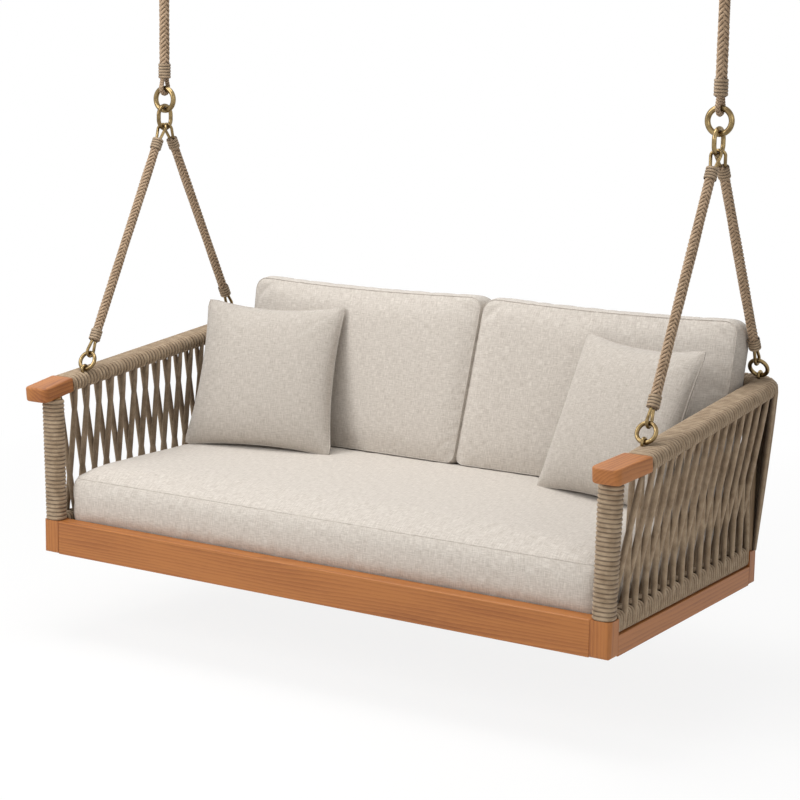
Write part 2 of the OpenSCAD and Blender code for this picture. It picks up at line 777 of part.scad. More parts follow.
module back_run() translate([-arc_x, back_v, -top_rail_h / 2]) rotate([90, 0, 90])
    linear_extrude(2 * arc_x) children();

module cap_tenon() translate([rail_x - 3, -cap_tenon_len, -top_rail_h / 2 - cap_tenon_h / 2])
    translate([-cap_tenon_w / 2, 0, 0]) cube([cap_tenon_w, cap_tenon_len, cap_tenon_h]);

module dowels() for (s = [-1, 1], y = [-1, 1])
    translate([s * arc_x - dowel_len / 2, back_v + y * dowel_gap, -top_rail_h / 2])
        rotate([0, 90, 0]) cylinder(h = dowel_len, d = dowel_d);

module arm_core() difference() {
    union() {
        arm_run() round_rect(core_w, core_h, core_edge_r);
        cap_tenon();
    }
    shank_holes();
    dowels();
}

module arm_rail(s) color("#a9774a") place() side(s) on_slope() arm_core();

module back_top_rail() color("#a9774a") place() on_slope() difference() {
    back_run() round_rect(core_w, core_h, core_edge_r);
    dowels();
}

module rail_dowels() color("#d9b685") place() on_slope() dowels();

module wound() difference() {
    round_rect(top_rail_w, top_rail_h, wound_edge_r);
    round_rect(core_w, core_h, core_edge_r);
}

module arm_winding(s) color("#bfae94") place() side(s) difference() {
    on_slope() difference() {
        arm_run() wound();
        eye_pockets();
    }
    translate([rear_post_x, rear_post_y, front_rail_h])
        cylinder(h = rail_top_z, d = rear_post_d);
}

module back_winding() color("#bfae94") place() on_slope() back_run() wound();

cap_toe_angle = atan(cap_toe / cap_len);
cap_arc = 6;
cap_round_y = cap_r - cap_len;

// The cap's outline, seen from above, turned in towards its front, at an inset
function cap_side(x, inset) = x * (top_rail_w / 2 - inset / cos(cap_toe_angle));
function cap_corner(x, inset, a) = [
    cap_side(x, cap_r) + cap_round_y * tan(cap_toe_angle) + (cap_r - inset) * cos(a),
    cap_round_y + (cap_r - inset) * sin(a)];
function cap_outline(inset) = concat(
    [[cap_side(-1, inset), 0]],
    [for (i = [0 : cap_arc]) cap_corner(-1, inset,
        180 - cap_toe_angle + i * (90 + cap_toe_angle) / cap_arc)],
    [for (i = [0 : cap_arc]) cap_corner(1, inset,
        270 + i * (90 - cap_toe_angle) / cap_arc)],
    [[cap_side(1, inset), 0]]);

// Steps of the round on the cap's lower and upper edges: [inset, height]
cap_round = [for (a = [0 : 22.5 : 90]) cap_bevel * [1 - sin(a), 1 - cos(a)]];
cap_steps = concat(
    [for (i = [0 : len(cap_round) - 1]) [cap_round[i][0], cap_round[i][1] - top_rail_h]],
    [for (i = [len(cap_round) - 1 : -1 : 0]) [cap_round[i][0], -cap_round[i][1]]]);

module cap_body() {
    n = len(cap_outline(0));
    rows = len(cap_steps);
    translate([rail_x, 0, 0]) polyhedron(
        [for (c = cap_steps) each [for (p = cap_outline(c[0])) [p[0], p[1], c[1]]]],
        concat(
            [[for (k = [0 : n - 1]) k]],
            skin_faces(rows, n),
            [[for (k = [n - 1 : -1 : 0]) (rows - 1) * n + k]]));
}

module arm_cap(s) color("#c98f5c") place() side(s) difference() {
    on_slope() difference() {
        cap_body();
        cap_tenon();
    }
    post_stub();
}

// ---- Lower bars

module lower_bars() color("#a9774a") place() {
    for (s = [left, right]) side(s) {
        translate([bar_x, rail_t, bar_z]) rotate([-90, 0, 0])
            cylinder(h = end_rail_len, r = bar_core_r);
        translate([bar_x, rail_t - spigot_len, bar_z]) rotate([-90, 0, 0])
            cylinder(h = end_rail_len + 2 * spigot_len, r = spigot_r);
    }
    translate([-rail_len / 2, bar_y, bar_z]) rotate([0, 90, 0])
        cylinder(h = rail_len, r = bar_core_r);
    translate([-rail_len / 2 - spigot_len, bar_y, bar_z]) rotate([0, 90, 0])
        cylinder(h = rail_len + 2 * spigot_len, r = spigot_r);
}

module tube(len, r_out, r_in) difference() {
    cylinder(h = len, r = r_out);
    translate([0, 0, -1]) cylinder(h = len + 2, r = r_in);
}

module lower_bar_windings() color("#bfae94") place() {
    for (s = [left, right]) side(s)
        translate([bar_x, rail_t, bar_z]) rotate([-90, 0, 0])
            tube(end_rail_len, bar_r, bar_core_r);
    translate([-rail_len / 2, bar_y, bar_z]) rotate([0, 90, 0])
        tube(rail_len, bar_r, bar_core_r);
}

// ---- Lacing

module lace_section() round_rect(top_rail_w + 2 * lace_gap, top_rail_h + 2 * lace_gap,
    wound_edge_r + lace_gap);

// What the strands are cut by: the wound rail with its caps, and the wound bars
module lace_cut_side() {
    on_slope() {
        translate([rail_x, arc_v + lace_d, -top_rail_h / 2]) rotate([90, 0, 0])
            linear_extrude(arc_v + lace_d) lace_section();
        translate([rail_x, 0, -top_rail_h - lace_gap]) linear_extrude(top_rail_h)
            polygon(cap_outline(-lace_gap));
    }
    translate([bar_x, 0, bar_z]) rotate([-90, 0, 0])
        cylinder(h = base_depth, r = bar_r + lace_gap);
}

module lace_cut_back() {
    on_slope() back_run() lace_section();
    translate([-half_len, bar_y, bar_z]) rotate([0, 90, 0])
        cylinder(h = base_len, r = bar_r + lace_gap);
}

// The height at which strands end inside the wound rail, and how a cap turns them in
function lace_top_z(y) = under_z(y) + wound_edge_r;
function cap_in(y) = max(0, cap_rear_y - y + top_rail_h * sin(rail_slope))
    * cap_toe / cap_len;

module side_strands() {
    for (i = [0 : lace_count_side - 1]) {
        y = rail_t + (i + lace_first) * lace_step_side;
        strut([bar_x + lace_low, y + lace_step_side / 2, lace_low_z],
            [rail_x + lace_top - cap_in(y), y, lace_top_z(y)], lace_d / 2);
    }
    for (i = [0 : lace_count_side - 2]) {
        y = rail_t + (i + lace_first + 1) * lace_step_side;
        strut([bar_x - lace_low, y - lace_step_side / 2, lace_low_z],
            [rail_x - lace_top - cap_in(y), y, lace_top_z(y)], lace_d / 2);
    }
}

// They stand on the corner block, on the rims of their square-cut feet
module corner_strands() difference() {
    for (a = corner_angles) {
        top_y = arc_y + (corner_r + lace_top) * sin(a);
        top = [arc_x + (corner_r + lace_top) * cos(a), top_y, lace_top_z(top_y)];
        foot = [rear_post_x + corner_foot * cos(a), rear_post_y + corner_foot * sin(a)];
        lean = atan2(norm([top[0] - foot[0], top[1] - foot[1]]), top[2] - front_rail_h);
        strut([foot[0], foot[1], front_rail_h + lace_gap + lace_d / 2 * sin(lean)],
            top, lace_d / 2);
    }
    on_slope() translate([arc_x, arc_v, -top_rail_h - lace_gap]) cube(3 * top_rail_w);
}

arc_y = cap_rear_y + arc_v * cos(rail_slope);

module lacing_side(s) color("#b7a489") place() side(s) {
    difference() {
        side_strands();
        lace_cut_side();
    }
    corner_strands();
}

module lacing_back() color("#b7a489") place() difference() {
    union() {
        for (i = [0 : lace_count_back - 1]) {
            x = (i + lace_first) * lace_step_back - rail_len / 2;
            y = base_depth + rail_behind + lace_top;
            strut([x + lace_step_back / 2, bar_y + lace_low, lace_low_z],
                [x, y, lace_top_z(y)], lace_d / 2);
        }
        for (i = [0 : lace_count_back - 2]) {
            x = (i + lace_first + 1) * lace_step_back - rail_len / 2;
            y = base_depth + rail_behind - lace_top;
            strut([x - lace_step_back / 2, bar_y - lace_low, lace_low_z],
                [x, y, lace_top_z(y)], lace_d / 2);
        }
    }
    lace_cut_back();
}

// ---- Cushions

corner_steps = 4;
side_steps = 5;
pad_n = 4 * (corner_steps + side_steps);

// One ring of a cushion: inset from the outline, at height z, with sides drawn in.
// A corner's radius is the cushion's, plus half the inset. At its low edge, the sides
// towards -x and +x are shifted by the two values of skew.
function pad_ring(w, d, r, inset, z, draw, skew) = [
    for (q = [0 : 3], i = [0 : corner_steps + side_steps - 1]) let (
        c = r + inset / 2,
        sx = q == 0 || q == 3 ? 1 : -1,
        sy = q < 2 ? 1 : -1,
        hx = w / 2 - inset - c,
        hy = d / 2 - inset - c,
        a = 90 * q + 90 * min(i, corner_steps) / corner_steps,
        t = max(0, i - corner_steps) / side_steps,
        run = q % 2 == 0 ? [-2 * sx * hx * t, 0] : [0, -2 * sy * hy * t],
        pull = 4 * draw * t * (1 - t) * (q % 2 == 0 ? [0, -sy] : [-sx, 0]),
        p = [sx * hx, sy * hy] + c * [cos(a), sin(a)] + run + pull,
        lean = (skew[0] * (1 / 2 - p[0] / w) + skew[1] * (1 / 2 + p[0] / w))
            * (1 / 2 - p[1] / d))
    [p[0] + lean, p[1], z]];

// A closed cushion from rings [inset, z, draw], low ones first
module pad(w, d, r, rings, skew = [0, 0]) {
    n = len(rings);
    low = rings[0];
    high = rings[n - 1];
    points = concat(
        [for (row = rings) each pad_ring(w, d, r, row[0], row[1], row[2], skew)],
        [[0, 0, low[3]], [0, 0, high[3]]]);
    faces = concat(
        skin_faces(n, pad_n),
        [for (k = [0 : pad_n - 1]) [n * pad_n, k, (k + 1) % pad_n]],
        [for (k = [0 : pad_n - 1])
            [n * pad_n + 1, (n - 1) * pad_n + (k + 1) % pad_n, (n - 1) * pad_n + k]]);
    polyhedron(points, faces);
}

module seat_cushion() color("#cbc4b8") place()
    translate([0, seat_front + seat_depth / 2, seat_z])
        pad(seat_len, seat_depth, seat_r, [
            [16, 0, 0, 0], [4, 9, 3], [0, seat_h / 2, 2], [4, seat_h - 7, 4],
            [5, seat_h, 5], [16, seat_h + 0.42 * seat_crown, 4],
            [40, seat_h + 0.7 * seat_crown, 3], [85, seat_h + 0.87 * seat_crown, 2],
            [190, seat_h + 0.96 * seat_crown, 0, seat_h + seat_crown]
        ]);

// A back cushion stands on its long edge: z of the pad runs to the front
module back_pad(w, skew)
    rotate([-back_lean, 0, 0]) rotate([90, 0, 0]) translate([0, back_h / 2, -back_t / 2])
        pad(w, back_h, back_r, [
            [150, 1, 0, 0], [60, 6, 2], [20, 14, 5], [5, 20, 8],
            [0, back_t / 2, 6], [5, back_t - 20, 8], [20, back_t - 14, 5],
            [60, back_t - 6, 2], [150, back_t - 1, 0, back_t]
        ], skew);

module back_cushion_left() color("#c9c2b5") place()
    translate([back_seam_x - back_left_w / 2, back_low_y, back_low_z])
        back_pad(back_left_w, [0, -inner_lean]);

module back_cushion_right() color("#c9c2b5") place()
    translate([back_seam_x + back_gap + back_right_w / 2, back_low_y, back_low_z])
        mirror([1, 0, 0]) back_pad(back_right_w, [outer_lean, inner_lean]);

// A loose pillow with a knife edge, whose sides pull in between its corners
module pillow(i) color("#cfc8bc") place()
    translate([pillow_x[i], pillow_y[i], pillow_low_z]) rotate([0, 0, pillow_yaw[i]])
        rotate([-pillow_lean, 0, 0]) rotate([90, 0, 0]) translate([0, pillow_s / 2, 0])
            pad(pillow_s, pillow_s, pillow_r, [
                [150, -0.48 * pillow_t, 0, -0.5 * pillow_t], [90, -0.42 * pillow_t, 4],
                [45, -0.31 * pillow_t, 9], [16, -0.17 * pillow_t, 13], [0, -2, 15],
                [0, 2, 15], [16, 0.17 * pillow_t, 13], [45, 0.31 * pillow_t, 9],
                [90, 0.42 * pillow_t, 4], [150, 0.48 * pillow_t, 0, 0.5 * pillow_t]
            ]);

ceiling_plate(left);  // ceiling_plate_left
ceiling_plate(right);  // ceiling_plate_right
clevis_pins();
split_pins();
hanger_eye(left);  // hanger_eye_left
hanger_eye(right);  // hanger_eye_right
upper_rope(left);  // upper_rope_left
upper_rope(right);  // upper_rope_right
upper_whippings(left);  // upper_whippings_left
upper_whippings(right);  // upper_whippings_right
top_ring(left);  // top_ring_left
top_ring(right);  // top_ring_right
apex_link(left);  // apex_link_left
apex_link(right);  // apex_link_right
leg_rope(left, front_eye_y);  // front_leg_rope_left
leg_rope(right, front_eye_y);  // front_leg_rope_right
leg_rope(left, rear_eye_y);  // rear_leg_rope_left
leg_rope(right, rear_eye_y);  // rear_leg_rope_right
leg_whippings();
leg_thimbles();
arm_rings();
eye_bolts();
eye_bolt_washers();
eye_bolt_nuts();
front_rail();
back_rail();
side_rail(left);  // side_rail_left
side_rail(right);  // side_rail_right
corner_block_front_left();
corner_block_front_right();
rear_corner_blocks();
slats();
centre_beam();
slat_ledgers();
slat_screws();
front_post(left);  // front_post_left
front_post(right);  // front_post_right
rear_posts();
post_winding(left);  // post_winding_left
post_winding(right);  // post_winding_right
arm_rail(left);  // arm_rail_left
arm_rail(right);  // arm_rail_right
back_top_rail();
rail_dowels();
arm_winding(left);  // arm_winding_left
arm_winding(right);  // arm_winding_right
back_winding();
arm_cap(left);  // arm_cap_left
arm_cap(right);  // arm_cap_right
lower_bars();
lower_bar_windings();
lacing_side(left);  // lacing_left
lacing_side(right);  // lacing_right
lacing_back();
seat_cushion();
back_cushion_left();
back_cushion_right();
pillow(0);  // pillow_left
pillow(1);  // pillow_right
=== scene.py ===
"""Looks of a hanging swing bed: rope-wound rail, laced panels, wooden base, linen cushions.

Metres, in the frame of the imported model: X along the bed, +Y to its back, +Z up, with the
origin on the ceiling. base_point() turns places on the base (front face, underside) to it.
"""

import math

import bpy
import numpy as np
from mathutils import Matrix, Vector


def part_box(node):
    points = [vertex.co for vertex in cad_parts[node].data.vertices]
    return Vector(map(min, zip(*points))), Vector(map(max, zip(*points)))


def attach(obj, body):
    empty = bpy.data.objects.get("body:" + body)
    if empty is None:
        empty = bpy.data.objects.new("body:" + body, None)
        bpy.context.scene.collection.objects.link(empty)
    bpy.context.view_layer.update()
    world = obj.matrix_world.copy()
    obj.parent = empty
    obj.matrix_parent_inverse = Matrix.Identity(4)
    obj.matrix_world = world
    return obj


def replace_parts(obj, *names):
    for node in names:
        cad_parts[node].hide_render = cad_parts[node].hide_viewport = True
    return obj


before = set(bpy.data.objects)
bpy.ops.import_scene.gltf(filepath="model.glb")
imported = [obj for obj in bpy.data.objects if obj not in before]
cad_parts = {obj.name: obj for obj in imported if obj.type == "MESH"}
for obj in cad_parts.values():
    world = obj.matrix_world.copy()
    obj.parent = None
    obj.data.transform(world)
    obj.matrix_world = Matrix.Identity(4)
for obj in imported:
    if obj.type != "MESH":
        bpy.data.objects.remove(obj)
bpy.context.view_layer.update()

bl_info = {
    "name": "Hanging Swing Bed",
    "version": (1, 0, 0),
    "blender": (4, 5, 0),
    "location": "3D View > Sidebar > Swing Bed",
    "description": "Dresses a hanging swing bed with rope work, wood, brass and linen",
    "category": "Object",
}

# ---- Places that the rope work and the cushions take from the frame

FRONT_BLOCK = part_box("corner_block_front_right")
REAR_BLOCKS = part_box("rear_corner_blocks")
BASE_Y, BASE_Z = FRONT_BLOCK[0].y, FRONT_BLOCK[0].z
HALF_LEN = FRONT_BLOCK[1].x
BASE_DEPTH = REAR_BLOCKS[1].y - BASE_Y
RAIL_T = FRONT_BLOCK[1].y - BASE_Y
RAIL_HALF_LEN = FRONT_BLOCK[0].x
FRONT_RAIL_H = FRONT_BLOCK[1].z - BASE_Z
SIDE_RAIL_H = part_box("side_rail_right")[1].z - BASE_Z

# Top rail: its slope frame starts at the caps' rear ends, on the rail's top face
SLOPE = math.radians(5.71)
CAP_REAR_Y = 0.10526
RAIL_TOP_Z = 0.520
RAIL_W, RAIL_H, RAIL_EDGE_R = 0.084, 0.044, 0.012
WOUND_OUT, WOUND_DROP = 0.0025, 0.0015
ROUND, BAR_ROUND, POST_ROUND = 0.0165, 0.010, 0.016
RAIL_X = HALF_LEN + 0.010
BEND_R = 0.060
BEND_X = RAIL_X - BEND_R
BACK_V = (BASE_DEPTH + 0.003 - CAP_REAR_Y) / math.cos(SLOPE)
BEND_V = BACK_V - BEND_R
CAP_LEN, CAP_TOE = 0.150, 0.022

# Lower bars, front posts and the feet of the corner strands
BAR_R = 0.029
BAR_X = HALF_LEN - BAR_R
BAR_Y = BASE_DEPTH - BAR_R
BAR_Z = SIDE_RAIL_H + BAR_R
POST_X, POST_Y = HALF_LEN - 0.029, RAIL_T / 2
POST_HALF = (0.018, 0.014)
# The wound post's width and place at its foot, and what each gains by its top
POST_GROW, POST_LEAN = (1.02, 0.11), (-0.0015, 0.0075)
POST_TIGHT = 1.12
POST_TOP_Z = RAIL_TOP_Z - CAP_REAR_Y * math.tan(SLOPE) - RAIL_H / math.cos(SLOPE)
REAR_POST = (HALF_LEN - 0.020, BASE_DEPTH - 0.024)
CORNER_FOOT_R = 0.0205
CORNER_ANGLES = (4, 17, 31, 45, 59, 73, 86)

# Lacing: a strand starts at LACE_FIRST of its step, and leans over by half a step
LACE_FIRST = 0.3
SIDE_COUNT, BACK_COUNT = 15, 32
SIDE_STEP = (BASE_DEPTH - 2 * RAIL_T) / SIDE_COUNT
BACK_STEP = 2 * RAIL_HALF_LEN / BACK_COUNT
SIDE_TOPS = [RAIL_T + (i + LACE_FIRST) * SIDE_STEP for i in range(SIDE_COUNT + 1)]
BACK_TOPS = [(i + LACE_FIRST) * BACK_STEP - RAIL_HALF_LEN for i in range(BACK_COUNT + 1)]
SIDE_LOWS = [y + SIDE_STEP / 2 for y in SIDE_TOPS[:-1]]
BACK_LOWS = [x + BACK_STEP / 2 for x in BACK_TOPS[:-1]]
WRAPS_BETWEEN = 3
# By how much rope laid by hand is out of place, and out of straight
HAND_SHIFT, HAND_BOW = 0.0012, 0.0010
# How many steps past the next one's start a strand ends: sets where the two layers cross
RIGHT_LEAD, LEFT_LEAD = 0.5, -1.0
STRAND_POINTS = 12
# Heights on the rail's outside, over its middle, from which the first strands come down
SIDE_FIRST_W, BACK_FIRST_W = -0.012, 0.006
CAP_CLEAR = 0.010

# Suspension
HANG_X = 0.938
HANG_Y = -BASE_Y
APEX_Z = 1.2775
EYE_Y = {"front": 0.180, "rear": 0.9294}
EYE_UP = 0.006
LEG_START, LEG_END = 0.0948, 0.0694
ROPE_LOW_Z, ROPE_TOP_Z = 1.4039, 1.7393
LOOP_MEAN, LOOP_RUN, LOOP_D = 0.017, 0.030, 0.016
LOOP_PLAIT, LOOP_STRANDS = 0.008, 4
LEG_WHIP, UPPER_WHIP = 0.034, 0.045
LEG_TURNS, UPPER_TURNS = 4, 5
SIDES = {"left": -1, "right": 1}

CAMERA_AT = (3.1485, -5.0391, -0.3072)
CAMERA_YAW, CAMERA_PITCH, CAMERA_ROLL = 32.392, 10.185, 0.92
CAMERA_LENS = 91.79


def base_point(points):
    """Row-frame places of points measured from the base's front face and underside."""
    return np.asarray(points, float) + (0.0, BASE_Y, BASE_Z)


def slope_point(x, v, w):
    """Base-measured place of a point in the top rail's slope frame."""
    return np.array([x,
                     CAP_REAR_Y + v * math.cos(SLOPE) - w * math.sin(SLOPE),
                     RAIL_TOP_Z + v * math.sin(SLOPE) + w * math.cos(SLOPE)])


def slope_way(x, v, w):
    """A direction in the slope frame, as the base sees it."""
    return slope_point(x, v, w) - slope_point(0, 0, 0)


# ---- Settings that a user would change

class SwingBedRope(bpy.types.PropertyGroup):
    """Rope work"""
    lace_d: bpy.props.FloatProperty(
        name="Lacing rope", description="Thickness of the wound and laced rope",
        default=0.0125, unit="LENGTH")
    strand_d: bpy.props.FloatProperty(
        name="Laced strands", description="Thickness of the rope where it hangs free",
        default=0.0180, unit="LENGTH")
    post_wraps: bpy.props.IntProperty(
        name="Post wraps", description="Turns of rope on a front post", default=30)
    leg_d: bpy.props.FloatProperty(
        name="Leg rope", description="Thickness of the four leg ropes",
        default=0.031, unit="LENGTH")
    leg_plait: bpy.props.FloatProperty(
        name="Leg plait", description="Distance from one plait of a leg rope to the next",
        default=0.0125, unit="LENGTH")
    upper_d: bpy.props.FloatProperty(
        name="Upper rope", description="Thickness of the two upper ropes",
        default=0.034, unit="LENGTH")
    upper_plait: bpy.props.FloatProperty(
        name="Upper plait", description="Distance from one plait of an upper rope to the next",
        default=0.0145, unit="LENGTH")
    whip_t: bpy.props.FloatProperty(
        name="Whipping", description="How far a whipping stands out from its rope",
        default=0.0025, unit="LENGTH")
    cord_light: bpy.props.StringProperty(
        name="Cord light", description="sRGB colour of the lacing's lit fibres",
        default="#BBA58A")
    cord_dark: bpy.props.StringProperty(
        name="Cord dark", description="sRGB colour of the lacing between its fibres",
        default="#8B755C")
    rope_light: bpy.props.StringProperty(
        name="Rope light", description="sRGB colour of the suspension ropes' lit fibres",
        default="#C2A78A")
    rope_dark: bpy.props.StringProperty(
        name="Rope dark", description="sRGB colour of the suspension ropes between fibres",
        default="#8C7257")


class SwingBedWood(bpy.types.PropertyGroup):
    """Wooden parts"""
    teak_light: bpy.props.StringProperty(
        name="Teak light", description="sRGB colour of the early wood", default="#AB6C35")
    teak_dark: bpy.props.StringProperty(
        name="Teak dark", description="sRGB colour of the late wood", default="#814820")
    pine_light: bpy.props.StringProperty(
        name="Hidden wood light", description="sRGB colour of the hidden frame's early wood",
        default="#C9A070")
    pine_dark: bpy.props.StringProperty(
        name="Hidden wood dark", description="sRGB colour of the hidden frame's late wood",
        default="#9C7344")
    stain_light: bpy.props.StringProperty(
        name="Stained wood light", description="sRGB colour of the rear posts' early wood",
        default="#9A8266")
    stain_dark: bpy.props.StringProperty(
        name="Stained wood dark", description="sRGB colour of the rear posts' late wood",
        default="#75604A")
    ring_step: bpy.props.FloatProperty(
        name="Growth rings", description="Distance between growth rings on a face",
        default=0.009, unit="LENGTH")
    edge_r: bpy.props.FloatProperty(
        name="Eased edge", description="Radius of the base rails' eased edges",
        default=0.003, unit="LENGTH")
    cap_cell: bpy.props.FloatProperty(
        name="Cap mesh", description="Mesh size of the arm caps", default=0.0022,
        unit="LENGTH")
    cap_rounds: bpy.props.IntProperty(
        name="Cap rounding", description="Passes that round the arm caps' edges", default=14)


class SwingBedMetal(bpy.types.PropertyGroup):
    """Rings, links, thimbles, bolts"""
    brass_light: bpy.props.StringProperty(
        name="Brass light", description="sRGB colour of the rubbed brass", default="#96815A")
    brass_dark: bpy.props.StringProperty(
        name="Brass dark", description="sRGB colour of the tarnished brass", default="#574630")
    zinc: bpy.props.StringProperty(
        name="Zinc", description="sRGB colour of the zinc plating", default="#B9BABB")


class SwingBedLinen(bpy.types.PropertyGroup):
    """Cushions and pillows"""
    linen_light: bpy.props.StringProperty(
        name="Linen light", description="sRGB colour of the linen's thick threads",
        default="#D8D1C8")
    linen_dark: bpy.props.StringProperty(
        name="Linen dark", description="sRGB colour of the linen's thin threads",
        default="#B2A99F")
    pillow_light: bpy.props.StringProperty(
        name="Pillow light", description="sRGB colour of the pillows' thick threads",
        default="#C9C2B9")
    pillow_dark: bpy.props.StringProperty(
        name="Pillow dark", description="sRGB colour of the pillows' thin threads",
        default="#A79E94")
    thread: bpy.props.FloatProperty(
        name="Thread spacing", description="Distance between threads as drawn",
        default=0.0022, unit="LENGTH")
    slub: bpy.props.FloatProperty(
        name="Slub length", description="Length of a thick place in a thread",
        default=0.024, unit="LENGTH")
    seat_crown: bpy.props.FloatProperty(
        name="Seat crown", description="Rise of the seat cushion's top over its seam",
        default=0.036, unit="LENGTH")
    cell: bpy.props.FloatProperty(
        name="Cloth cell", description="Mesh size of the cushions' covers",
        default=0.009, unit="LENGTH")


class SwingBedStage(bpy.types.PropertyGroup):
    """Floor and light"""
    floor_drop: bpy.props.FloatProperty(
        name="Floor", description="Distance of the floor below the base",
        default=0.26, unit="LENGTH")
    floor_colour: bpy.props.StringProperty(
        name="Floor colour", description="sRGB colour of the floor", default="#F4F3F1")


# ---- Materials

def linear(hex_colour):
    """sRGB hex to linear RGBA."""
    parts = [int(hex_colour[i:i + 2], 16) / 255 for i in (1, 3, 5)]
    return [c / 12.92 if c <= 0.04045 else ((c + 0.055) / 1.055) ** 2.4 for c in parts] + [1.0]


def having(thing, **settings):
    """The thing, with those settings."""
    for name, value in settings.items():
        setattr(thing, name, value)
    return thing


def add(tree, kind, feeds=None, **settings):
    """Adds a shader node. settings are its own, and feeds its sockets' values or links."""
    node = having(tree.nodes.new("ShaderNode" + kind), **settings)
    for socket, value in (feeds or {}).items():
        if isinstance(value, bpy.types.NodeSocket):
            tree.links.new(value, node.inputs[socket])
        else:
            node.inputs[socket].default_value = value
    return node


def blank(name):
    """A new material with an empty tree, and its tree."""
    material = bpy.data.materials.new(name)
    material.use_nodes = True
    material.node_tree.nodes.clear()
    return material, material.node_tree


def calc(tree, operation, first, second):
    """A number worked out from two others."""
    return add(tree, "Math", {0: first, 1: second}, operation=operation).outputs[0]


def noise(tree, place, scale, detail, roughness=0.5):
    """Soft random patches."""
    return add(tree, "TexNoise", {
        "Vector": place, "Scale": scale, "Detail": detail,
        "Roughness": roughness}).outputs["Fac"]


def two_tone(tree, level, dark, light, low, high):
    """A colour that goes from dark to light as level goes from low to high."""
    ramp = add(tree, "ValToRGB", {"Fac": level})
    for stop, at, colour in zip(ramp.color_ramp.elements, (low, high), (dark, light)):
        stop.position, stop.color = at, linear(colour)
    return ramp.outputs["Color"]


def relief(tree, height, strength, distance):
    """The surface's normal over a fine relief."""
    return add(tree, "Bump", {"Height": height, "Strength": strength,
                                        "Distance": distance}).outputs["Normal"]


def surfaced(material, tree, feeds):
    """The material, finished with a surface shader that has those feeds."""
    shader = add(tree, "BsdfPrincipled", feeds)
    add(tree, "OutputMaterial", {"Surface": shader.outputs[0]})
    return material


def seen_direct(tree):
    """1 for rays that show the background itself: the camera's, mirrored and passed ones."""
    ray = add(tree, "LightPath").outputs
    seen = calc(tree, "MAXIMUM", ray["Is Camera Ray"], ray["Is Glossy Ray"])
    return calc(tree, "MAXIMUM", seen, ray["Is Transmission Ray"])


def dusted(tree, colour):
    """A cord's colour, darkened towards dark brown by painted shade on the flanks that lie against
    the next turn or strand.
    """
    dust = add(tree, "Attribute", attribute_name="dust").outputs["Fac"]
    # The dark brown is the colour of the painted shade.
    return add(tree, "Mix", {0: dust, 6: colour, 7: linear("#2E2115")},
               data_type="RGBA").outputs[2]


def fibrous(material, tree, pattern, share, patch, tones, roughness):
    """Finishes a cord's material: the pattern of its yarns over soft patches of grime.

    tones are the dark and the light colour, and the levels at which each is reached.
    """
    grime = noise(tree, add(tree, "TexCoord").outputs["Object"], patch, 3.0, 0.6)
    level = calc(tree, "ADD", calc(tree, "MULTIPLY", pattern, share), grime)
    # The base colour carries painted shade on the cord's flanks.
    return surfaced(material, tree, {
        "Base Color": dusted(tree, two_tone(tree, level, *tones)), "Roughness": roughness,
        "Specular IOR Level": 0.25, "Sheen Weight": 0.12, "Sheen Roughness": 0.6,
        "Normal": relief(tree, pattern, 0.5, 0.0005)})


def braided_cord(name, light, dark, braid):
    """Braided olefin cord: a fine diagonal sleeve, matt, a little hairy.

    The sleeve's two families of yarns cross at the angle of the cord's own UV map,
    which is in metres, so braid is their real spacing.
    """
    material, tree = blank(name)
    uv = add(tree, "TexCoord").outputs["UV"]
    families = []
    for turn in (0.72, -0.72):
        lay = add(tree, "Mapping", {"Vector": uv, "Rotation": (0, 0, turn)})
        families.append(add(tree, "TexWave", {
            "Vector": lay.outputs[0], "Scale": 0.314 / braid, "Distortion": 0.6,
            "Detail": 1.0}, wave_profile="SIN").outputs["Fac"])
    sleeve = calc(tree, "MULTIPLY", families[0], families[1])
    return fibrous(material, tree, sleeve, 0.55, 38.0, (dark, light, 0.38, 0.88), 0.88)


def spun_yarn(name, light, dark, yarn):
    """Spun polyester strand of a plaited rope: fine yarns twisted along the strand."""
    material, tree = blank(name)
    uv = add(tree, "TexCoord").outputs["UV"]
    lay = add(tree, "Mapping", {"Vector": uv, "Rotation": (0, 0, 0.35)})
    yarns = add(tree, "TexWave", {
        "Vector": lay.outputs[0], "Scale": 0.314 / yarn, "Distortion": 1.2,
        "Detail": 2.0, "Detail Scale": 1.5}).outputs["Fac"]
    return fibrous(material, tree, yarns, 0.4, 60.0, (dark, light, 0.35, 0.9), 0.86)


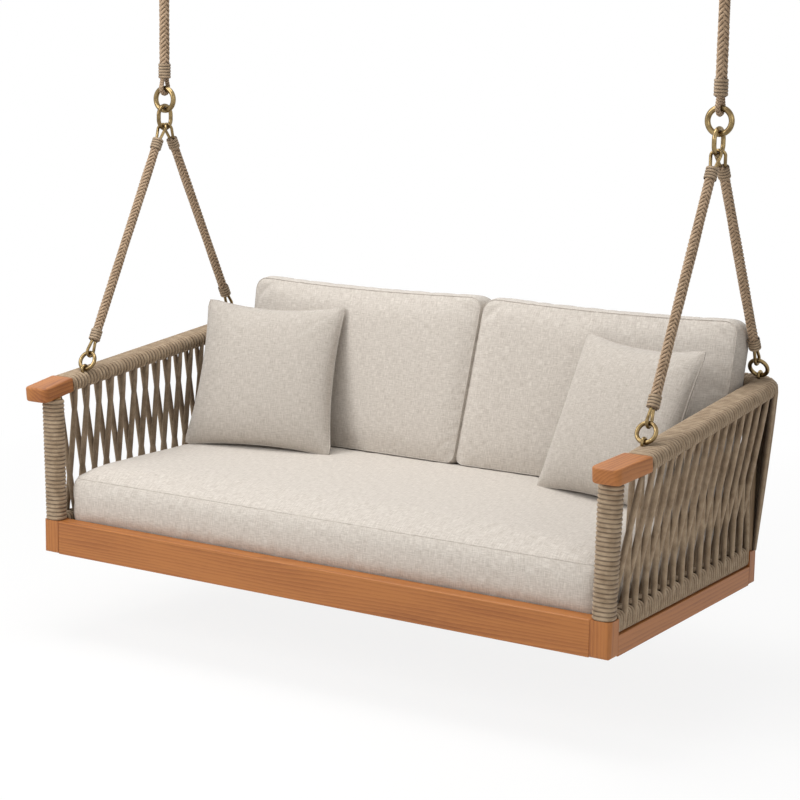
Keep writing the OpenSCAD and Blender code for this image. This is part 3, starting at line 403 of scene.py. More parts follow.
def sawn_wood(name, light, dark, ring_step, grain, roughness, gloss):
    """Planed and oiled wood: flat-sawn growth rings and open pores that run along the grain.

    grain is the axis of the board's length. Rings wander by a few widths over a board's
    length, and pores are short dark dashes about a millimetre wide.
    """
    material, tree = blank(name)
    place = add(tree, "TexCoord").outputs["Object"]
    long_way = ["X", "Y", "Z"].index(grain)
    stretch = [1.0, 1.0, 1.0]
    stretch[long_way] = 0.10
    turn = [0.09, 0.06, 0.05]
    turn[long_way] = 0.0
    board = add(tree, "Mapping", {
        "Vector": place, "Rotation": turn, "Scale": stretch}).outputs[0]
    wander = add(tree, "TexNoise", {
        "Vector": board, "Scale": 9.0, "Detail": 2.0, "Roughness": 0.5}).outputs["Color"]
    bent = add(tree, "Mix", {0: 0.045, 4: board, 5: wander},
               data_type="VECTOR").outputs[1]
    rings = add(tree, "TexWave", {
        "Vector": bent, "Scale": 0.314 / ring_step, "Distortion": 3.5, "Detail": 3.0,
        "Detail Scale": 0.7, "Detail Roughness": 0.6}, wave_type="RINGS",
        rings_direction=grain, wave_profile="SAW").outputs["Fac"]
    pore_scale = [1.0, 1.0, 1.0]
    pore_scale[long_way] = 0.035
    pores_at = add(tree, "Mapping", {"Vector": place, "Scale": pore_scale})
    pores = noise(tree, pores_at.outputs[0], 900.0, 2.0, 0.7)
    broad = noise(tree, board, 14.0, 3.0, 0.55)
    level = calc(tree, "ADD", broad, calc(tree, "MULTIPLY", rings, 0.34))
    level = calc(tree, "ADD", level, calc(tree, "MULTIPLY", pores, 0.5))
    return surfaced(material, tree, {
        "Base Color": two_tone(tree, level, dark, light, 0.55, 1.0), "Roughness": roughness,
        "Specular IOR Level": 0.4, "Coat Weight": gloss, "Coat Roughness": 0.45,
        "Normal": relief(tree, pores, 0.25, 0.0003)})


def aged_brass(name, light, dark):
    """Cast brass, tumbled and left to tarnish: warm, satin, browner in broad patches."""
    material, tree = blank(name)
    place = add(tree, "TexCoord").outputs["Object"]
    patches = noise(tree, place, 42.0, 4.0, 0.6)
    rough = add(tree, "MapRange", {
        "Value": patches, "From Min": 0.3, "From Max": 0.7, "To Min": 0.38,
        "To Max": 0.24}).outputs[0]
    dents = noise(tree, place, 260.0, 2.0)
    return surfaced(material, tree, {
        "Base Color": two_tone(tree, patches, dark, light, 0.25, 0.60), "Metallic": 1.0,
        "Roughness": rough, "Normal": relief(tree, dents, 0.1, 0.0003)})


def zinc_plated(name, colour_hex):
    """Zinc-plated steel: pale grey, satin, with the faint mottle of the plating bath."""
    material, tree = blank(name)
    place = add(tree, "TexCoord").outputs["Object"]
    mottle = noise(tree, place, 220.0, 3.0)
    rough = add(tree, "MapRange", {
        "Value": mottle, "To Min": 0.28, "To Max": 0.5}).outputs[0]
    return surfaced(material, tree, {
        "Base Color": linear(colour_hex), "Metallic": 1.0, "Roughness": rough,
        "Normal": relief(tree, mottle, 0.2, 0.0002)})


def slub_linen(name, light, dark, thread, slub):
    """Plain-woven linen: warp and weft of uneven yarn, whose thick places show as dashes.

    Real threads lie about 0.7 mm apart, too fine to show, so they are drawn coarser.
    """
    material, tree = blank(name)
    uv = add(tree, "TexCoord").outputs["UV"]
    yarns, waves = [], []
    for across, along, way in ((1 / thread, 1 / slub, "X"), (1 / slub, 1 / thread, "Y")):
        lay = add(tree, "Mapping", {"Vector": uv, "Scale": (across, along, 1.0)})
        yarns.append(add(tree, "TexNoise", {
            "Vector": lay.outputs[0], "Scale": 1.0, "Detail": 2.0, "Roughness": 0.6,
            "Distortion": 0.15}).outputs["Fac"])
        waves.append(add(tree, "TexWave", {
            "Vector": uv, "Scale": 0.314 / thread, "Distortion": 0.4, "Detail": 1.0},
            bands_direction=way).outputs["Fac"])
    slubs = calc(tree, "ADD", yarns[0], yarns[1])
    weave = calc(tree, "MULTIPLY", waves[0], waves[1])
    grain = calc(tree, "MULTIPLY", weave, 0.07)
    level = calc(tree, "ADD", calc(tree, "MULTIPLY", slubs, 0.5), grain)
    height = calc(tree, "ADD", level, grain)
    return surfaced(material, tree, {
        "Base Color": two_tone(tree, level, dark, light, 0.38, 0.68), "Roughness": 0.92,
        "Specular IOR Level": 0.2, "Sheen Weight": 0.2, "Sheen Roughness": 0.5,
        "Normal": relief(tree, height, 0.3, 0.0010)})


def once(name, make, *looks):
    """The material of that name, made the first time it is asked for."""
    return bpy.data.materials.get(name) or make(name, *looks)


def lacing_material(rope):
    return once("braided_olefin_cord", braided_cord, rope.cord_light, rope.cord_dark, 0.0026)


def plait_material(rope):
    return once("spun_plait_yarn", spun_yarn, rope.rope_light, rope.rope_dark, 0.0019)


def wood_material(wood, grain, kind="oiled_teak"):
    light, dark, roughness, gloss = {
        "oiled_teak": (wood.teak_light, wood.teak_dark, 0.5, 0.06),
        "planed_pine": (wood.pine_light, wood.pine_dark, 0.65, 0.0),
        "stained_pine": (wood.stain_light, wood.stain_dark, 0.6, 0.0)}[kind]
    name = kind if kind == "stained_pine" else kind + "_" + grain.lower()
    return once(name, sawn_wood, light, dark, wood.ring_step, grain, roughness, gloss)


def linen_material(linen):
    return once("slub_linen", slub_linen, linen.linen_light, linen.linen_dark,
                linen.thread, linen.slub)


def pillow_material(linen):
    return once("slub_linen_pillow", slub_linen, linen.pillow_light, linen.pillow_dark,
                linen.thread, linen.slub)


def paint(material, *nodes):
    """Gives CAD nodes their finish."""
    for name in nodes:
        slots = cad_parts[name].data.materials
        slots.clear()
        slots.append(material)


# ---- Rope

def skin(name, points, faces, uvs, lay, material, body):
    """A smooth mesh with a UV map in metres, called lay, as a piece that rides on its body."""
    mesh = bpy.data.meshes.new(name)
    mesh.from_pydata(points.tolist(), [], faces)
    mesh.uv_layers.new(name=lay).data.foreach_set("uv", np.asarray(uvs, float).ravel())
    mesh.polygons.foreach_set("use_smooth", [True] * len(mesh.polygons))
    mesh.materials.append(material)
    piece = bpy.data.objects.new(name, mesh)
    bpy.context.scene.collection.objects.link(piece)
    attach(piece, body)
    return piece


def places(piece):
    """Its mesh's points."""
    flat = np.empty(len(piece.data.vertices) * 3)
    piece.data.vertices.foreach_get("co", flat)
    return flat.reshape(-1, 3)


def distances(path):
    """How far along a path each of its points lies."""
    return np.concatenate([[0], np.cumsum(np.linalg.norm(np.diff(path, axis=0), axis=1))])


def unit(vectors):
    return vectors / np.linalg.norm(vectors, axis=-1, keepdims=True)


class RopeMesh:
    """Collects swept cords into one mesh, whose UV map is in metres round and along a cord."""

    def __init__(self):
        self.points, self.faces, self.uvs, self.dust, self.count = [], [], [], [], 0

    def lay(self, path, out, wide, thick, sides=8, close=0.0):
        """Sweeps an oval, wide across and thick along out, which points off what it lies on.

        close is the strength of the painted shade on its flanks, where its neighbours lie against
        it.
        """
        path, out = np.asarray(path, float), np.asarray(out, float)
        n = len(path)
        along = unit(np.gradient(path, axis=0))
        across = unit(np.cross(along, out * np.ones((n, 1))))
        up = np.cross(across, along)
        wide = np.broadcast_to(np.asarray(wide, float), n)
        thick = np.broadcast_to(np.asarray(thick, float), n)
        angle = 2 * math.pi * np.arange(sides) / sides
        rings = (path[:, None]
                 + across[:, None] * (wide[:, None] * np.cos(angle))[..., None]
                 + up[:, None] * (thick[:, None] * np.sin(angle))[..., None])
        self.points.append(rings.reshape(-1, 3))
        # Painted shade: full on the flanks and underside of the oval, none on its top.
        self.dust.append(np.tile(close * (1 - np.clip(np.sin(angle), 0, 1)) ** 1.1, n))
        run = distances(path)
        facet = angle[1] * float(np.mean(wide + thick)) / 2
        for i in range(n - 1):
            a, b = self.count + i * sides, self.count + (i + 1) * sides
            for k in range(sides):
                m = (k + 1) % sides
                self.faces.append((a + k, a + m, b + m, b + k))
                u, v = k * facet, (k + 1) * facet
                self.uvs += [(u, run[i]), (v, run[i]), (v, run[i + 1]), (u, run[i + 1])]
        for i, order in ((0, range(sides - 1, -1, -1)), (n - 1, range(sides))):
            self.faces.append(tuple(self.count + i * sides + k for k in order))
            self.uvs += [(wide[i] * math.cos(angle[k]), run[i] + thick[i] * math.sin(angle[k]))
                         for k in order]
        self.count += n * sides

    def piece(self, name, material, body, slot):
        """The finished piece, riding on its body."""
        piece = skin(name, np.concatenate(self.points), self.faces, self.uvs, "cord",
                     material, body)
        # Each point's painted shade, kept as an attribute for the cord materials.
        dust = piece.data.attributes.new("dust", "FLOAT", "POINT")
        dust.data.foreach_set("value", np.concatenate(self.dust))
        return piece

    def lacing(self, name, rope, node):
        """The finished piece of lacing rope on the bed, in place of a CAD node."""
        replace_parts(self.piece(name, lacing_material(rope), "bed", "lacing_rope"), node)


def plait(rope, centre, first, second, radius, step, strands=6, twist=0.0):
    """Lays a square plait: half of its strands wind left, half right, in four columns.

    centre is its centreline, and first and second span its cross-section. A strand rides
    over in the two columns of its own way and dives under in the others. Neighbours in a
    column lie step apart.
    """
    centre = np.asarray(centre, float)
    run = distances(centre)
    lead, points_a_turn = strands * step, 22
    s = np.linspace(0, run[-1], max(10, int(run[-1] / lead * points_a_turn)))
    mid, one, two = (np.stack([np.interp(s, run, ways[:, k]) for k in range(3)], 1)
                     for ways in (centre, first, second))
    thick, swing = 0.22 * radius, 0.15 * radius
    middle = radius - swing - thick
    slant = math.atan2(2 * math.pi * radius * 0.9, lead)
    wander = 0.16 * np.sin(s * 17 + twist) + 0.10 * np.sin(s * 41 + 2 * twist)
    for way in (1, -1):
        for start in range(strands):
            angle = 2 * math.pi * (start / strands + way * s / lead)
            r = middle + way * swing * np.cos(2 * angle)
            angle = angle + wander
            out = one * np.cos(angle)[:, None] + two * np.sin(angle)[:, None]
            # Strands take painted shade on their flanks where they cross.
            rope.lay(mid + out * r[:, None], out, 0.48 * step * math.sin(slant), thick, 6,
                     close=0.6)
    # A core down the middle, with full painted shade on its flanks and underside, fills the gaps
    # between the strands.
    rope.lay(mid, one, 0.6 * radius, 0.6 * radius, close=1.0)


def wrap_round(rope, section, normals, slots, place, pitch, thick, tight=1.0):
    """Winds a cord: a plain turn in each slot, with the step to the next at its start.

    Turns pressed together, with tight over 1, have shallower grooves between them.
    """
    path, out, wide = [], [], []
    for k, slot in enumerate(slots):
        for i, (spot, normal) in enumerate(zip(section, normals)):
            if i == 0 and k:
                continue
            shift = (-0.5 if i == 0 else 0.5 if i == len(section) - 1 else 0) * pitch
            point, way, share = place(slot + shift, spot, normal)
            path.append(point)
            out.append(way)
            wide.append(0.5 * pitch * share * tight)
    # Turns take full painted shade on the flanks that lie against their neighbours.
    rope.lay(path, out, wide, thick, 10, close=1.0)


def round_section(half_w, half_h, r):
    """A round-cornered rectangle's points and outward normals, once round from its underside."""
    points, normals = [(0.0, -half_h)], [(0.0, -1.0)]
    for quarter, (sx, sy) in enumerate(((1, -1), (1, 1), (-1, 1), (-1, -1))):
        if quarter == 2:
            points.append((0.0, half_h))
            normals.append((0.0, 1.0))
        for step in range(4):
            a = math.radians(-90 + 90 * quarter + 30 * step)
            points.append((sx * (half_w - r) + r * math.cos(a),
                           sy * (half_h - r) + r * math.sin(a)))
            normals.append((math.cos(a), math.sin(a)))
    return points + points[:1], normals + normals[:1]


def rail_section(half):
    """Section along which the top rail's winding runs."""
    return round_section(RAIL_W / 2 + WOUND_OUT - half, RAIL_H / 2 + WOUND_OUT - half, ROUND)


def ring_section(r, count=12):
    """A circle's points and outward normals, from its underside."""
    angles = [math.radians(-90 + 360 * i / count) for i in range(count + 1)]
    normals = [(math.cos(a), math.sin(a)) for a in angles]
    return [(r * x, r * y) for x, y in normals], normals


def slots_between(low, high, pitch):
    """Centres of the turns that fill a stretch, and their pitch."""
    count = max(1, round((high - low) / pitch))
    step = (high - low) / count
    return [low + (k + 0.5) * step for k in range(count)], step


def stretches(low, stops, high, pitch):
    """The stretches of a run that turns fill, between strands that take up a turn each."""
    return list(zip([low] + [at + pitch / 2 for at in stops],
                    [at - pitch / 2 for at in stops] + [high]))


def wind(cord, run, section, place, pitch, thick, tight=1.0):
    """Fills the stretches of a run with turns."""
    for low, high in run:
        slots, step = slots_between(low, high, pitch)
        wrap_round(cord, *section, slots, place, step, thick, tight)


def rail_place(s):
    """Point, outward and upward way of the arm's centreline at a distance from the cap."""
    if s <= BEND_V:
        return RAIL_X, s, 1.0, 0.0, 1.0
    a = (s - BEND_V) / BEND_R
    return (BEND_X + BEND_R * math.cos(a), BEND_V + BEND_R * math.sin(a),
            math.cos(a), math.sin(a), BEND_R)


def on_arm(side):
    """place() of the winding of one arm."""
    def place(s, spot, normal):
        x, v, out_x, out_v, radius = rail_place(s)
        point = slope_point(x + spot[0] * out_x, v + spot[0] * out_v,
                            spot[1] - RAIL_H / 2 - WOUND_DROP)
        way = slope_way(normal[0] * out_x, normal[0] * out_v, normal[1])
        share = 1.0 if radius == 1.0 else (BEND_R + spot[0]) / BEND_R
        return base_point(point) * (side, 1, 1), way * (side, 1, 1), share
    return place


def on_back(s, spot, normal):
    """place() of the winding of the back rail."""
    point = slope_point(s, BACK_V + spot[0], spot[1] - RAIL_H / 2 - WOUND_DROP)
    return base_point(point), slope_way(0, normal[0], normal[1]), 1.0


def side_bar(side):
    """place() of the winding of a side's lower bar."""
    def place(s, spot, normal):
        point = (BAR_X + spot[0], s, BAR_Z + spot[1])
        return base_point(point) * (side, 1, 1), np.array([normal[0] * side, 0, normal[1]]), 1.0
    return place


def back_bar(s, spot, normal):
    """place() of the winding of the back's lower bar."""
    return base_point((s, BAR_Y + spot[0], BAR_Z + spot[1])), np.array([0, *normal]), 1.0


def rail_v(y):
    """Slope-frame place of a strand that meets the rail's lower edge at y."""
    return (y - CAP_REAR_Y) / math.cos(SLOPE) - (RAIL_H - RAIL_EDGE_R) * math.sin(SLOPE)


def leg(which, side):
    """Eye centre, unit vector up the leg and its length, in the row frame."""
    y = EYE_Y[which]
    v = (y - CAP_REAR_Y + EYE_UP * math.sin(SLOPE)) / math.cos(SLOPE)
    eye = base_point(slope_point(HANG_X, v, EYE_UP)) * (side, 1, 1)
    apex = base_point((HANG_X, HANG_Y, APEX_Z)) * (side, 1, 1)
    length = np.linalg.norm(apex - eye)
    return eye, (apex - eye) / length, length


def facing(point, axis):
    """Two cross-section vectors of a rope, with a meeting of columns turned to the camera."""
    towards = np.array(CAMERA_AT) - point
    front = unit(towards - axis * np.dot(towards, axis))
    side_way = np.cross(axis, front)
    turn = math.radians(-32)
    first = front * math.cos(turn) + side_way * math.sin(turn)
    return first, np.cross(axis, first)


def whip(rope, start, axis, first, second, radius, length, wraps, proud):
    """Binds a rope's end with tight turns of thin cord."""
    section, normals = ring_section(radius + 0.15 * proud, 20)
    pitch = length / wraps

    def place(s, spot, normal):
        return (start + axis * s + second * spot[0] + first * spot[1],
                second * normal[0] + first * normal[1], 1.0)

    slots = [(k + 0.5) * pitch for k in range(wraps)]
    wrap_round(rope, section, normals, slots, place, pitch, 0.85 * proud)


# ---- Cushions

def pad_grid(half, cell):
    """A box's surface as quads of about cell: its params (-1..1), quads and their UVs."""
    counts = [max(2, round(2 * h / cell)) for h in half]
    index, params, quads, uvs = {}, [], [], []

    def corner(*key):
        if key not in index:
            index[key] = len(params)
            params.append([2 * key[k] / counts[k] - 1 for k in range(3)])
        return index[key]

    for axis in range(3):
        a, b = (axis + 1) % 3, (axis + 2) % 3
        for end in (0, counts[axis]):
            for i in range(counts[a]):
                for j in range(counts[b]):
                    around = ((i, j), (i + 1, j), (i + 1, j + 1), (i, j + 1))
                    if not end:
                        around = around[::-1]
                    quad = []
                    for p, q in around:
                        key = [0, 0, 0]
                        key[axis], key[a], key[b] = end, p, q
                        quad.append(corner(*key))
                        spot = [params[quad[-1]][k] * half[k] for k in (a, b)]
                        uvs.append(spot)
                    quads.append(quad)
    return np.array(params), quads, uvs


def rounded(points, half, r):
    """Rounds the upright edges of a box: x and y of its points, with corner radius r."""
    inner = np.clip(points[:, :2], -np.array(half[:2]) + r, np.array(half[:2]) - r)
    out = points[:, :2] - inner
    far = np.abs(out).max(1, keepdims=True)
    norm = np.linalg.norm(out, axis=1, keepdims=True)
    points[:, :2] = inner + np.where(norm > 0, out / np.maximum(norm, 1e-9) * far, 0)
    return points


def from_edges(params, half):
    """How far the points of a pad lie from its side edges."""
    return (np.array(half[:2]) - np.abs(params[:, :2] * half[:2])).clip(0)


def fullness(edge, reach, power=0.9):
    """0 at a pad's edges, and near 1 from about twice reach inwards."""
    return np.prod(1 - np.exp(-(edge / reach) ** power), axis=1)


def stood(points, place, lean, height, yaw=0.0):
    """Points of a pad made lying down, stood on its low edge at place and leaned back."""
    turn = (Matrix.Rotation(yaw, 4, "Z") @ Matrix.Rotation(-lean, 4, "X")
            @ Matrix.Rotation(math.pi / 2, 4, "X") @ Matrix.Translation((0, height / 2, 0)))
    at = Matrix.Translation(base_point(place).tolist()) @ turn
    return points @ np.array(at.to_3x3()).T + np.array(at.translation)


def plump(piece, sewn, cap, ease):
    """Fills a cover by cloth simulation, held at its sewn points, and caps each move."""
    scene = bpy.context.scene
    group = piece.vertex_groups.new(name="sewn")
    group.add([int(i) for i in np.nonzero(sewn)[0]], 1.0, "REPLACE")
    cloth = piece.modifiers.new("filling", "CLOTH")
    having(cloth.settings, quality=5, mass=0.3, tension_stiffness=25,
           compression_stiffness=25, bending_stiffness=0.6, shrink_min=-ease,
           use_pressure=True, uniform_pressure_force=4.0, vertex_group_mass="sewn")
    cloth.settings.effector_weights.gravity = 0
    cloth.collision_settings.use_collision = False
    having(cloth.point_cache, frame_start=1, frame_end=20)
    rest = places(piece)
    for step in range(1, 21):
        scene.frame_set(step)
    away = places(piece.evaluated_get(bpy.context.evaluated_depsgraph_get())) - rest
    size = np.linalg.norm(away, axis=1, keepdims=True)
    away *= cap * np.tanh(size / cap) / np.maximum(size, 1e-9)
    piece.modifiers.remove(cloth)
    piece.vertex_groups.remove(group)
    piece.data.vertices.foreach_set("co", (rest + away).ravel())
    piece.data.update()
    scene.frame_set(1)


def filled(piece, node, sewn, cap, ease):
    """Fills a cover, which takes the place of a CAD node, and rounds it off."""
    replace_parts(piece, node)
    plump(piece, sewn, cap, ease)
    having(piece.modifiers.new("rounding", "SUBSURF"), levels=1, render_levels=1)


def seam(piece, name, picked, params, inset, material, slot, wide=0.0024, thick=0.0014):
    """A sewn seam's ridge along the picked points of a cover, which lie round it."""
    at = np.nonzero(picked)[0]
    at = at[np.argsort(np.arctan2(params[at, 1], params[at, 0]))]
    line = places(piece)[at]
    out = unit(line - line.mean(axis=0))
    line = line - out * inset
    rope = RopeMesh()
    rope.lay(np.vstack([line, line[:2]]), np.vstack([out, out[:2]]), wide, thick, 6)
    return rope.piece(name, material, "bed", slot)


# ---- Operators

class SWINGBED_OT_camera(bpy.types.Operator):
    """Set the camera where the photograph was taken from"""
    bl_idname = "swingbed.camera"
    bl_label = "Camera"

    def execute(self, context):
        camera = bpy.data.objects.new("camera", bpy.data.cameras.new("camera"))
        having(camera.data, lens=CAMERA_LENS, sensor_width=36.0, clip_end=100.0)
        camera.matrix_world = (
            Matrix.Translation(CAMERA_AT)
            @ Matrix.Rotation(math.radians(CAMERA_YAW), 4, "Z")
            @ Matrix.Rotation(math.radians(90 - CAMERA_PITCH), 4, "X")
            @ Matrix.Rotation(math.radians(CAMERA_ROLL), 4, "Z"))
        context.scene.collection.objects.link(camera)
        context.scene.camera = camera
        return {"FINISHED"}


class SWINGBED_OT_leg_ropes(bpy.types.Operator):
    """Plait the four leg ropes and bind their ends"""
    bl_idname = "swingbed.leg_ropes"
    bl_label = "Leg ropes"

    def execute(self, context):
        rope = context.scene.swing_bed_rope
        material = plait_material(rope)
        radius = rope.leg_d / 2
        for side_name, side in SIDES.items():
            for which in EYE_Y:
                eye, up, length = leg(which, side)
                low, high = LEG_START, length - LEG_END
                first, second = facing(eye + up * length / 2, up)
                centre = eye + up * np.linspace(low, high, 60)[:, None]
                strands = RopeMesh()
                plait(strands, centre, np.tile(first, (60, 1)), np.tile(second, (60, 1)),
                      radius, rope.leg_plait, twist=side + 2 * (which == "rear"))
                name = f"{which}_leg_rope_{side_name}"
                piece = strands.piece(name + "_plait", material, "bed", "thick_rope")
                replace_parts(piece, name)
                bound = RopeMesh()
                for at in (low, high - LEG_WHIP):
                    whip(bound, eye + up * at, up, first, second, radius, LEG_WHIP,
                         LEG_TURNS, rope.whip_t)
                ends = bound.piece(f"{which}_leg_{side_name}_whippings",
                                   lacing_material(rope), "bed", "whipping_cord")
                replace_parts(ends, "leg_whippings")
        return {"FINISHED"}


class SWINGBED_OT_upper_ropes(bpy.types.Operator):
    """Plait the two upper ropes with their loops, and bind their ends"""
    bl_idname = "swingbed.upper_ropes"
    bl_label = "Upper ropes"

    def loop(self, strands, side, z, way, plane):
        """A teardrop loop whose end lies away from z, in the plane of X or Y."""
        end, tail = 0.0085, 0.006
        close = 2 * math.atan((LOOP_RUN - math.sqrt(
            LOOP_RUN ** 2 - LOOP_MEAN ** 2 + end ** 2)) / (LOOP_MEAN + end))
        arc = [(LOOP_MEAN * math.cos(a), LOOP_MEAN * math.sin(a))
               for a in np.linspace(close, -math.pi - close, 24)]
        foot = (end, LOOP_RUN + tail)
        bend = (arc[0][0] * 0.5 + end * 0.5, arc[0][1] * 0.5 + LOOP_RUN * 0.5)
        flat = np.array([foot, bend] + arc + [(-bend[0], bend[1]), (-foot[0], foot[1])])
        across = np.array([1.0, 0, 0]) if plane == "X" else np.array([0, 1.0, 0])
        up = np.array([0, 0, -way])
        centre = base_point((HANG_X * side, HANG_Y, z))
        points = centre + flat[:, :1] * across + flat[:, 1:] * up
        tangent = unit(np.gradient(points, axis=0))
        normal = np.cross(across, up)
        inward = np.cross(tangent, normal)
        plait(strands, points, inward, np.tile(normal, (len(points), 1)), LOOP_D / 2,
              LOOP_PLAIT, LOOP_STRANDS, side)

    def execute(self, context):
        rope = context.scene.swing_bed_rope
        radius = rope.upper_d / 2
        for side_name, side in SIDES.items():
            body = "rope_" + side_name
            low = base_point((HANG_X * side, HANG_Y, ROPE_LOW_Z))
            up = np.array([0, 0, 1.0])
            height = ROPE_TOP_Z - ROPE_LOW_Z
            first, second = facing(low, up)
            centre = low + up * np.linspace(0, height, 40)[:, None]
            strands = RopeMesh()
            plait(strands, centre, np.tile(first, (40, 1)), np.tile(second, (40, 1)),
                  radius, rope.upper_plait, twist=side)
            piece = strands.piece(f"upper_rope_{side_name}_plait", plait_material(rope), body,
                                  "thick_rope")
            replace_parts(piece, "upper_rope_" + side_name)
            loops = RopeMesh()
            self.loop(loops, side, ROPE_LOW_Z - LOOP_RUN, -1, "Y")
            self.loop(loops, side, ROPE_TOP_Z + LOOP_RUN, 1, "X")
            eyes = loops.piece(f"upper_rope_{side_name}_loops", plait_material(rope), body,
                               "thick_rope")
            bound = RopeMesh()
            for at in (0.0, height - UPPER_WHIP):
                whip(bound, low + up * at, up, first, second, radius, UPPER_WHIP,
                     UPPER_TURNS, rope.whip_t)
            ends = bound.piece(f"upper_{side_name}_whippings", lacing_material(rope), body,
                               "whipping_cord")
            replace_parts(ends, "upper_whippings_" + side_name)
        return {"FINISHED"}


class SWINGBED_OT_metal(bpy.types.Operator):
    """Finish the brass fittings and the plated fasteners"""
    bl_idname = "swingbed.metal"
    bl_label = "Metal fittings"

    def execute(self, context):
        metal = context.scene.swing_bed_metal
        brass = once("aged_cast_brass", aged_brass, metal.brass_light, metal.brass_dark)
        paint(brass, "ceiling_plate_left", "ceiling_plate_right",
              "clevis_pins", "split_pins", "hanger_eye_left", "hanger_eye_right",
              "top_ring_left", "top_ring_right", "apex_link_left", "apex_link_right",
              "leg_thimbles", "arm_rings", "eye_bolts")
        paint(zinc_plated("zinc_plated_steel", metal.zinc), "eye_bolt_washers",
              "eye_bolt_nuts", "slat_screws")
        return {"FINISHED"}


class SWINGBED_OT_wood(bpy.types.Operator):
    """Finish the teak base and arm caps, and the hidden frame"""
    bl_idname = "swingbed.wood"
    bl_label = "Wooden parts"

    def execute(self, context):
        wood = context.scene.swing_bed_wood
        paint(wood_material(wood, "X"), "front_rail", "back_rail")
        paint(wood_material(wood, "Y"), "side_rail_left", "side_rail_right",
              "arm_cap_left", "arm_cap_right")
        paint(wood_material(wood, "Z"), "corner_block_front_left",
              "corner_block_front_right", "rear_corner_blocks")
        paint(wood_material(wood, "X", "planed_pine"), "back_top_rail", "rail_dowels",
              "slat_ledgers", "centre_beam")
        paint(wood_material(wood, "Y", "planed_pine"), "slats", "arm_rail_left", "arm_rail_right",
              "lower_bars")
        paint(wood_material(wood, "Z", "planed_pine"), "front_post_left", "front_post_right")
        paint(wood_material(wood, "Z", "stained_pine"), "rear_posts")
        boards = ("front_rail", "back_rail", "side_rail_left", "side_rail_right", "slats",
                  "centre_beam", "slat_ledgers", "corner_block_front_left",
                  "corner_block_front_right", "rear_corner_blocks")
        for name in boards:
            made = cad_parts[name].modifiers
            made.new("joined", "WELD").merge_threshold = 1e-5
            having(made.new("eased_edges", "BEVEL"), width=wood.edge_r, segments=4,
                   limit_method="ANGLE", angle_limit=math.radians(25), harden_normals=True)
        for name in ("arm_cap_left", "arm_cap_right"):
            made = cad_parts[name].modifiers
            made.new("joined", "WELD").merge_threshold = 1e-5
            having(made.new("even_mesh", "REMESH"), mode="VOXEL", voxel_size=wood.cap_cell,
                   use_smooth_shade=True)
            having(made.new("rounded_edges", "SMOOTH"), factor=0.6, iterations=wood.cap_rounds)
        return {"FINISHED"}


class SWINGBED_OT_rail_windings(bpy.types.Operator):
    """Wind the arms and the back rail with rope"""
    bl_idname = "swingbed.rail_windings"
    bl_label = "Rail windings"

    def execute(self, context):
        rope = context.scene.swing_bed_rope
        half = rope.lace_d / 2
        section = rail_section(half)
        stops = [rail_v(y) for y in SIDE_TOPS[1:-1]]
        pitch = (stops[1] - stops[0]) / (WRAPS_BETWEEN + 1)
        for side_name, side in SIDES.items():
            cord = RopeMesh()
            run = stretches(0.0, stops, BEND_V + BEND_R * math.pi / 2, pitch)
            wind(cord, run, section, on_arm(side), pitch, half)
            cord.lacing("arm_winding_" + side_name + "_cord", rope, "arm_winding_" + side_name)
        cord = RopeMesh()
        pitch = BACK_STEP / (WRAPS_BETWEEN + 1)
        wind(cord, stretches(-BEND_X, BACK_TOPS[1:-1], BEND_X, pitch), section, on_back, pitch,
             half)
        cord.lacing("back_winding_cord", rope, "back_winding")
        return {"FINISHED"}


class SWINGBED_OT_bar_windings(bpy.types.Operator):
    """Wind the lower bars with rope"""
    bl_idname = "swingbed.bar_windings"
    bl_label = "Bar windings"

    def execute(self, context):
        rope = context.scene.swing_bed_rope
        half = rope.lace_d / 2
        section = round_section(BAR_R - half, BAR_R - half, BAR_ROUND)
        least = 0.6
        cord = RopeMesh()
        runs = [(side_bar(side), RAIL_T, BASE_DEPTH - RAIL_T, SIDE_STEP, SIDE_LOWS)
                for side in SIDES.values()]
        runs.append((back_bar, -RAIL_HALF_LEN, RAIL_HALF_LEN, BACK_STEP, BACK_LOWS))
        for place, low, high, step, stops in runs:
            pitch = step / (WRAPS_BETWEEN + 1)
            run = [(a, b) for a, b in stretches(low, stops, high, pitch)
                   if b - a >= least * pitch]
            wind(cord, run, section, place, pitch, half)
        cord.lacing("lower_bar_cord", rope, "lower_bar_windings")
        return {"FINISHED"}


class SWINGBED_OT_post_windings(bpy.types.Operator):
    """Wind the two front posts with rope"""
    bl_idname = "swingbed.post_windings"
    bl_label = "Post windings"

    def execute(self, context):
        rope = context.scene.swing_bed_rope
        clear = 0.0005
        low, high = FRONT_RAIL_H + clear, POST_TOP_Z - clear
        pitch = (high - low) / rope.post_wraps
        half = rope.lace_d / 2
        # Each turn steps to the next at the back of the post
        section = [[(x, -y) for x, y in pairs] for pairs in round_section(
            POST_HALF[0] + half, POST_HALF[1] + half, POST_ROUND)]
        for side_name, side in SIDES.items():
            def place(s, spot, normal):
                z = min(max(s, low + pitch / 2), high - pitch / 2)
                up = (z - low) / (high - low)
                grow = POST_GROW[0] + POST_GROW[1] * up
                lean = POST_LEAN[0] + POST_LEAN[1] * up
                point = base_point((POST_X + lean + grow * spot[0],
                                    POST_Y + spot[1], z))
                return point * (side, 1, 1), np.array([normal[0] * side, normal[1], 0]), 1.0
            cord = RopeMesh()
            wind(cord, [(low, high)], section, place, pitch, half, POST_TIGHT)
            cord.lacing("post_cord_" + side_name, rope, "post_winding_" + side_name)
        return {"FINISHED"}


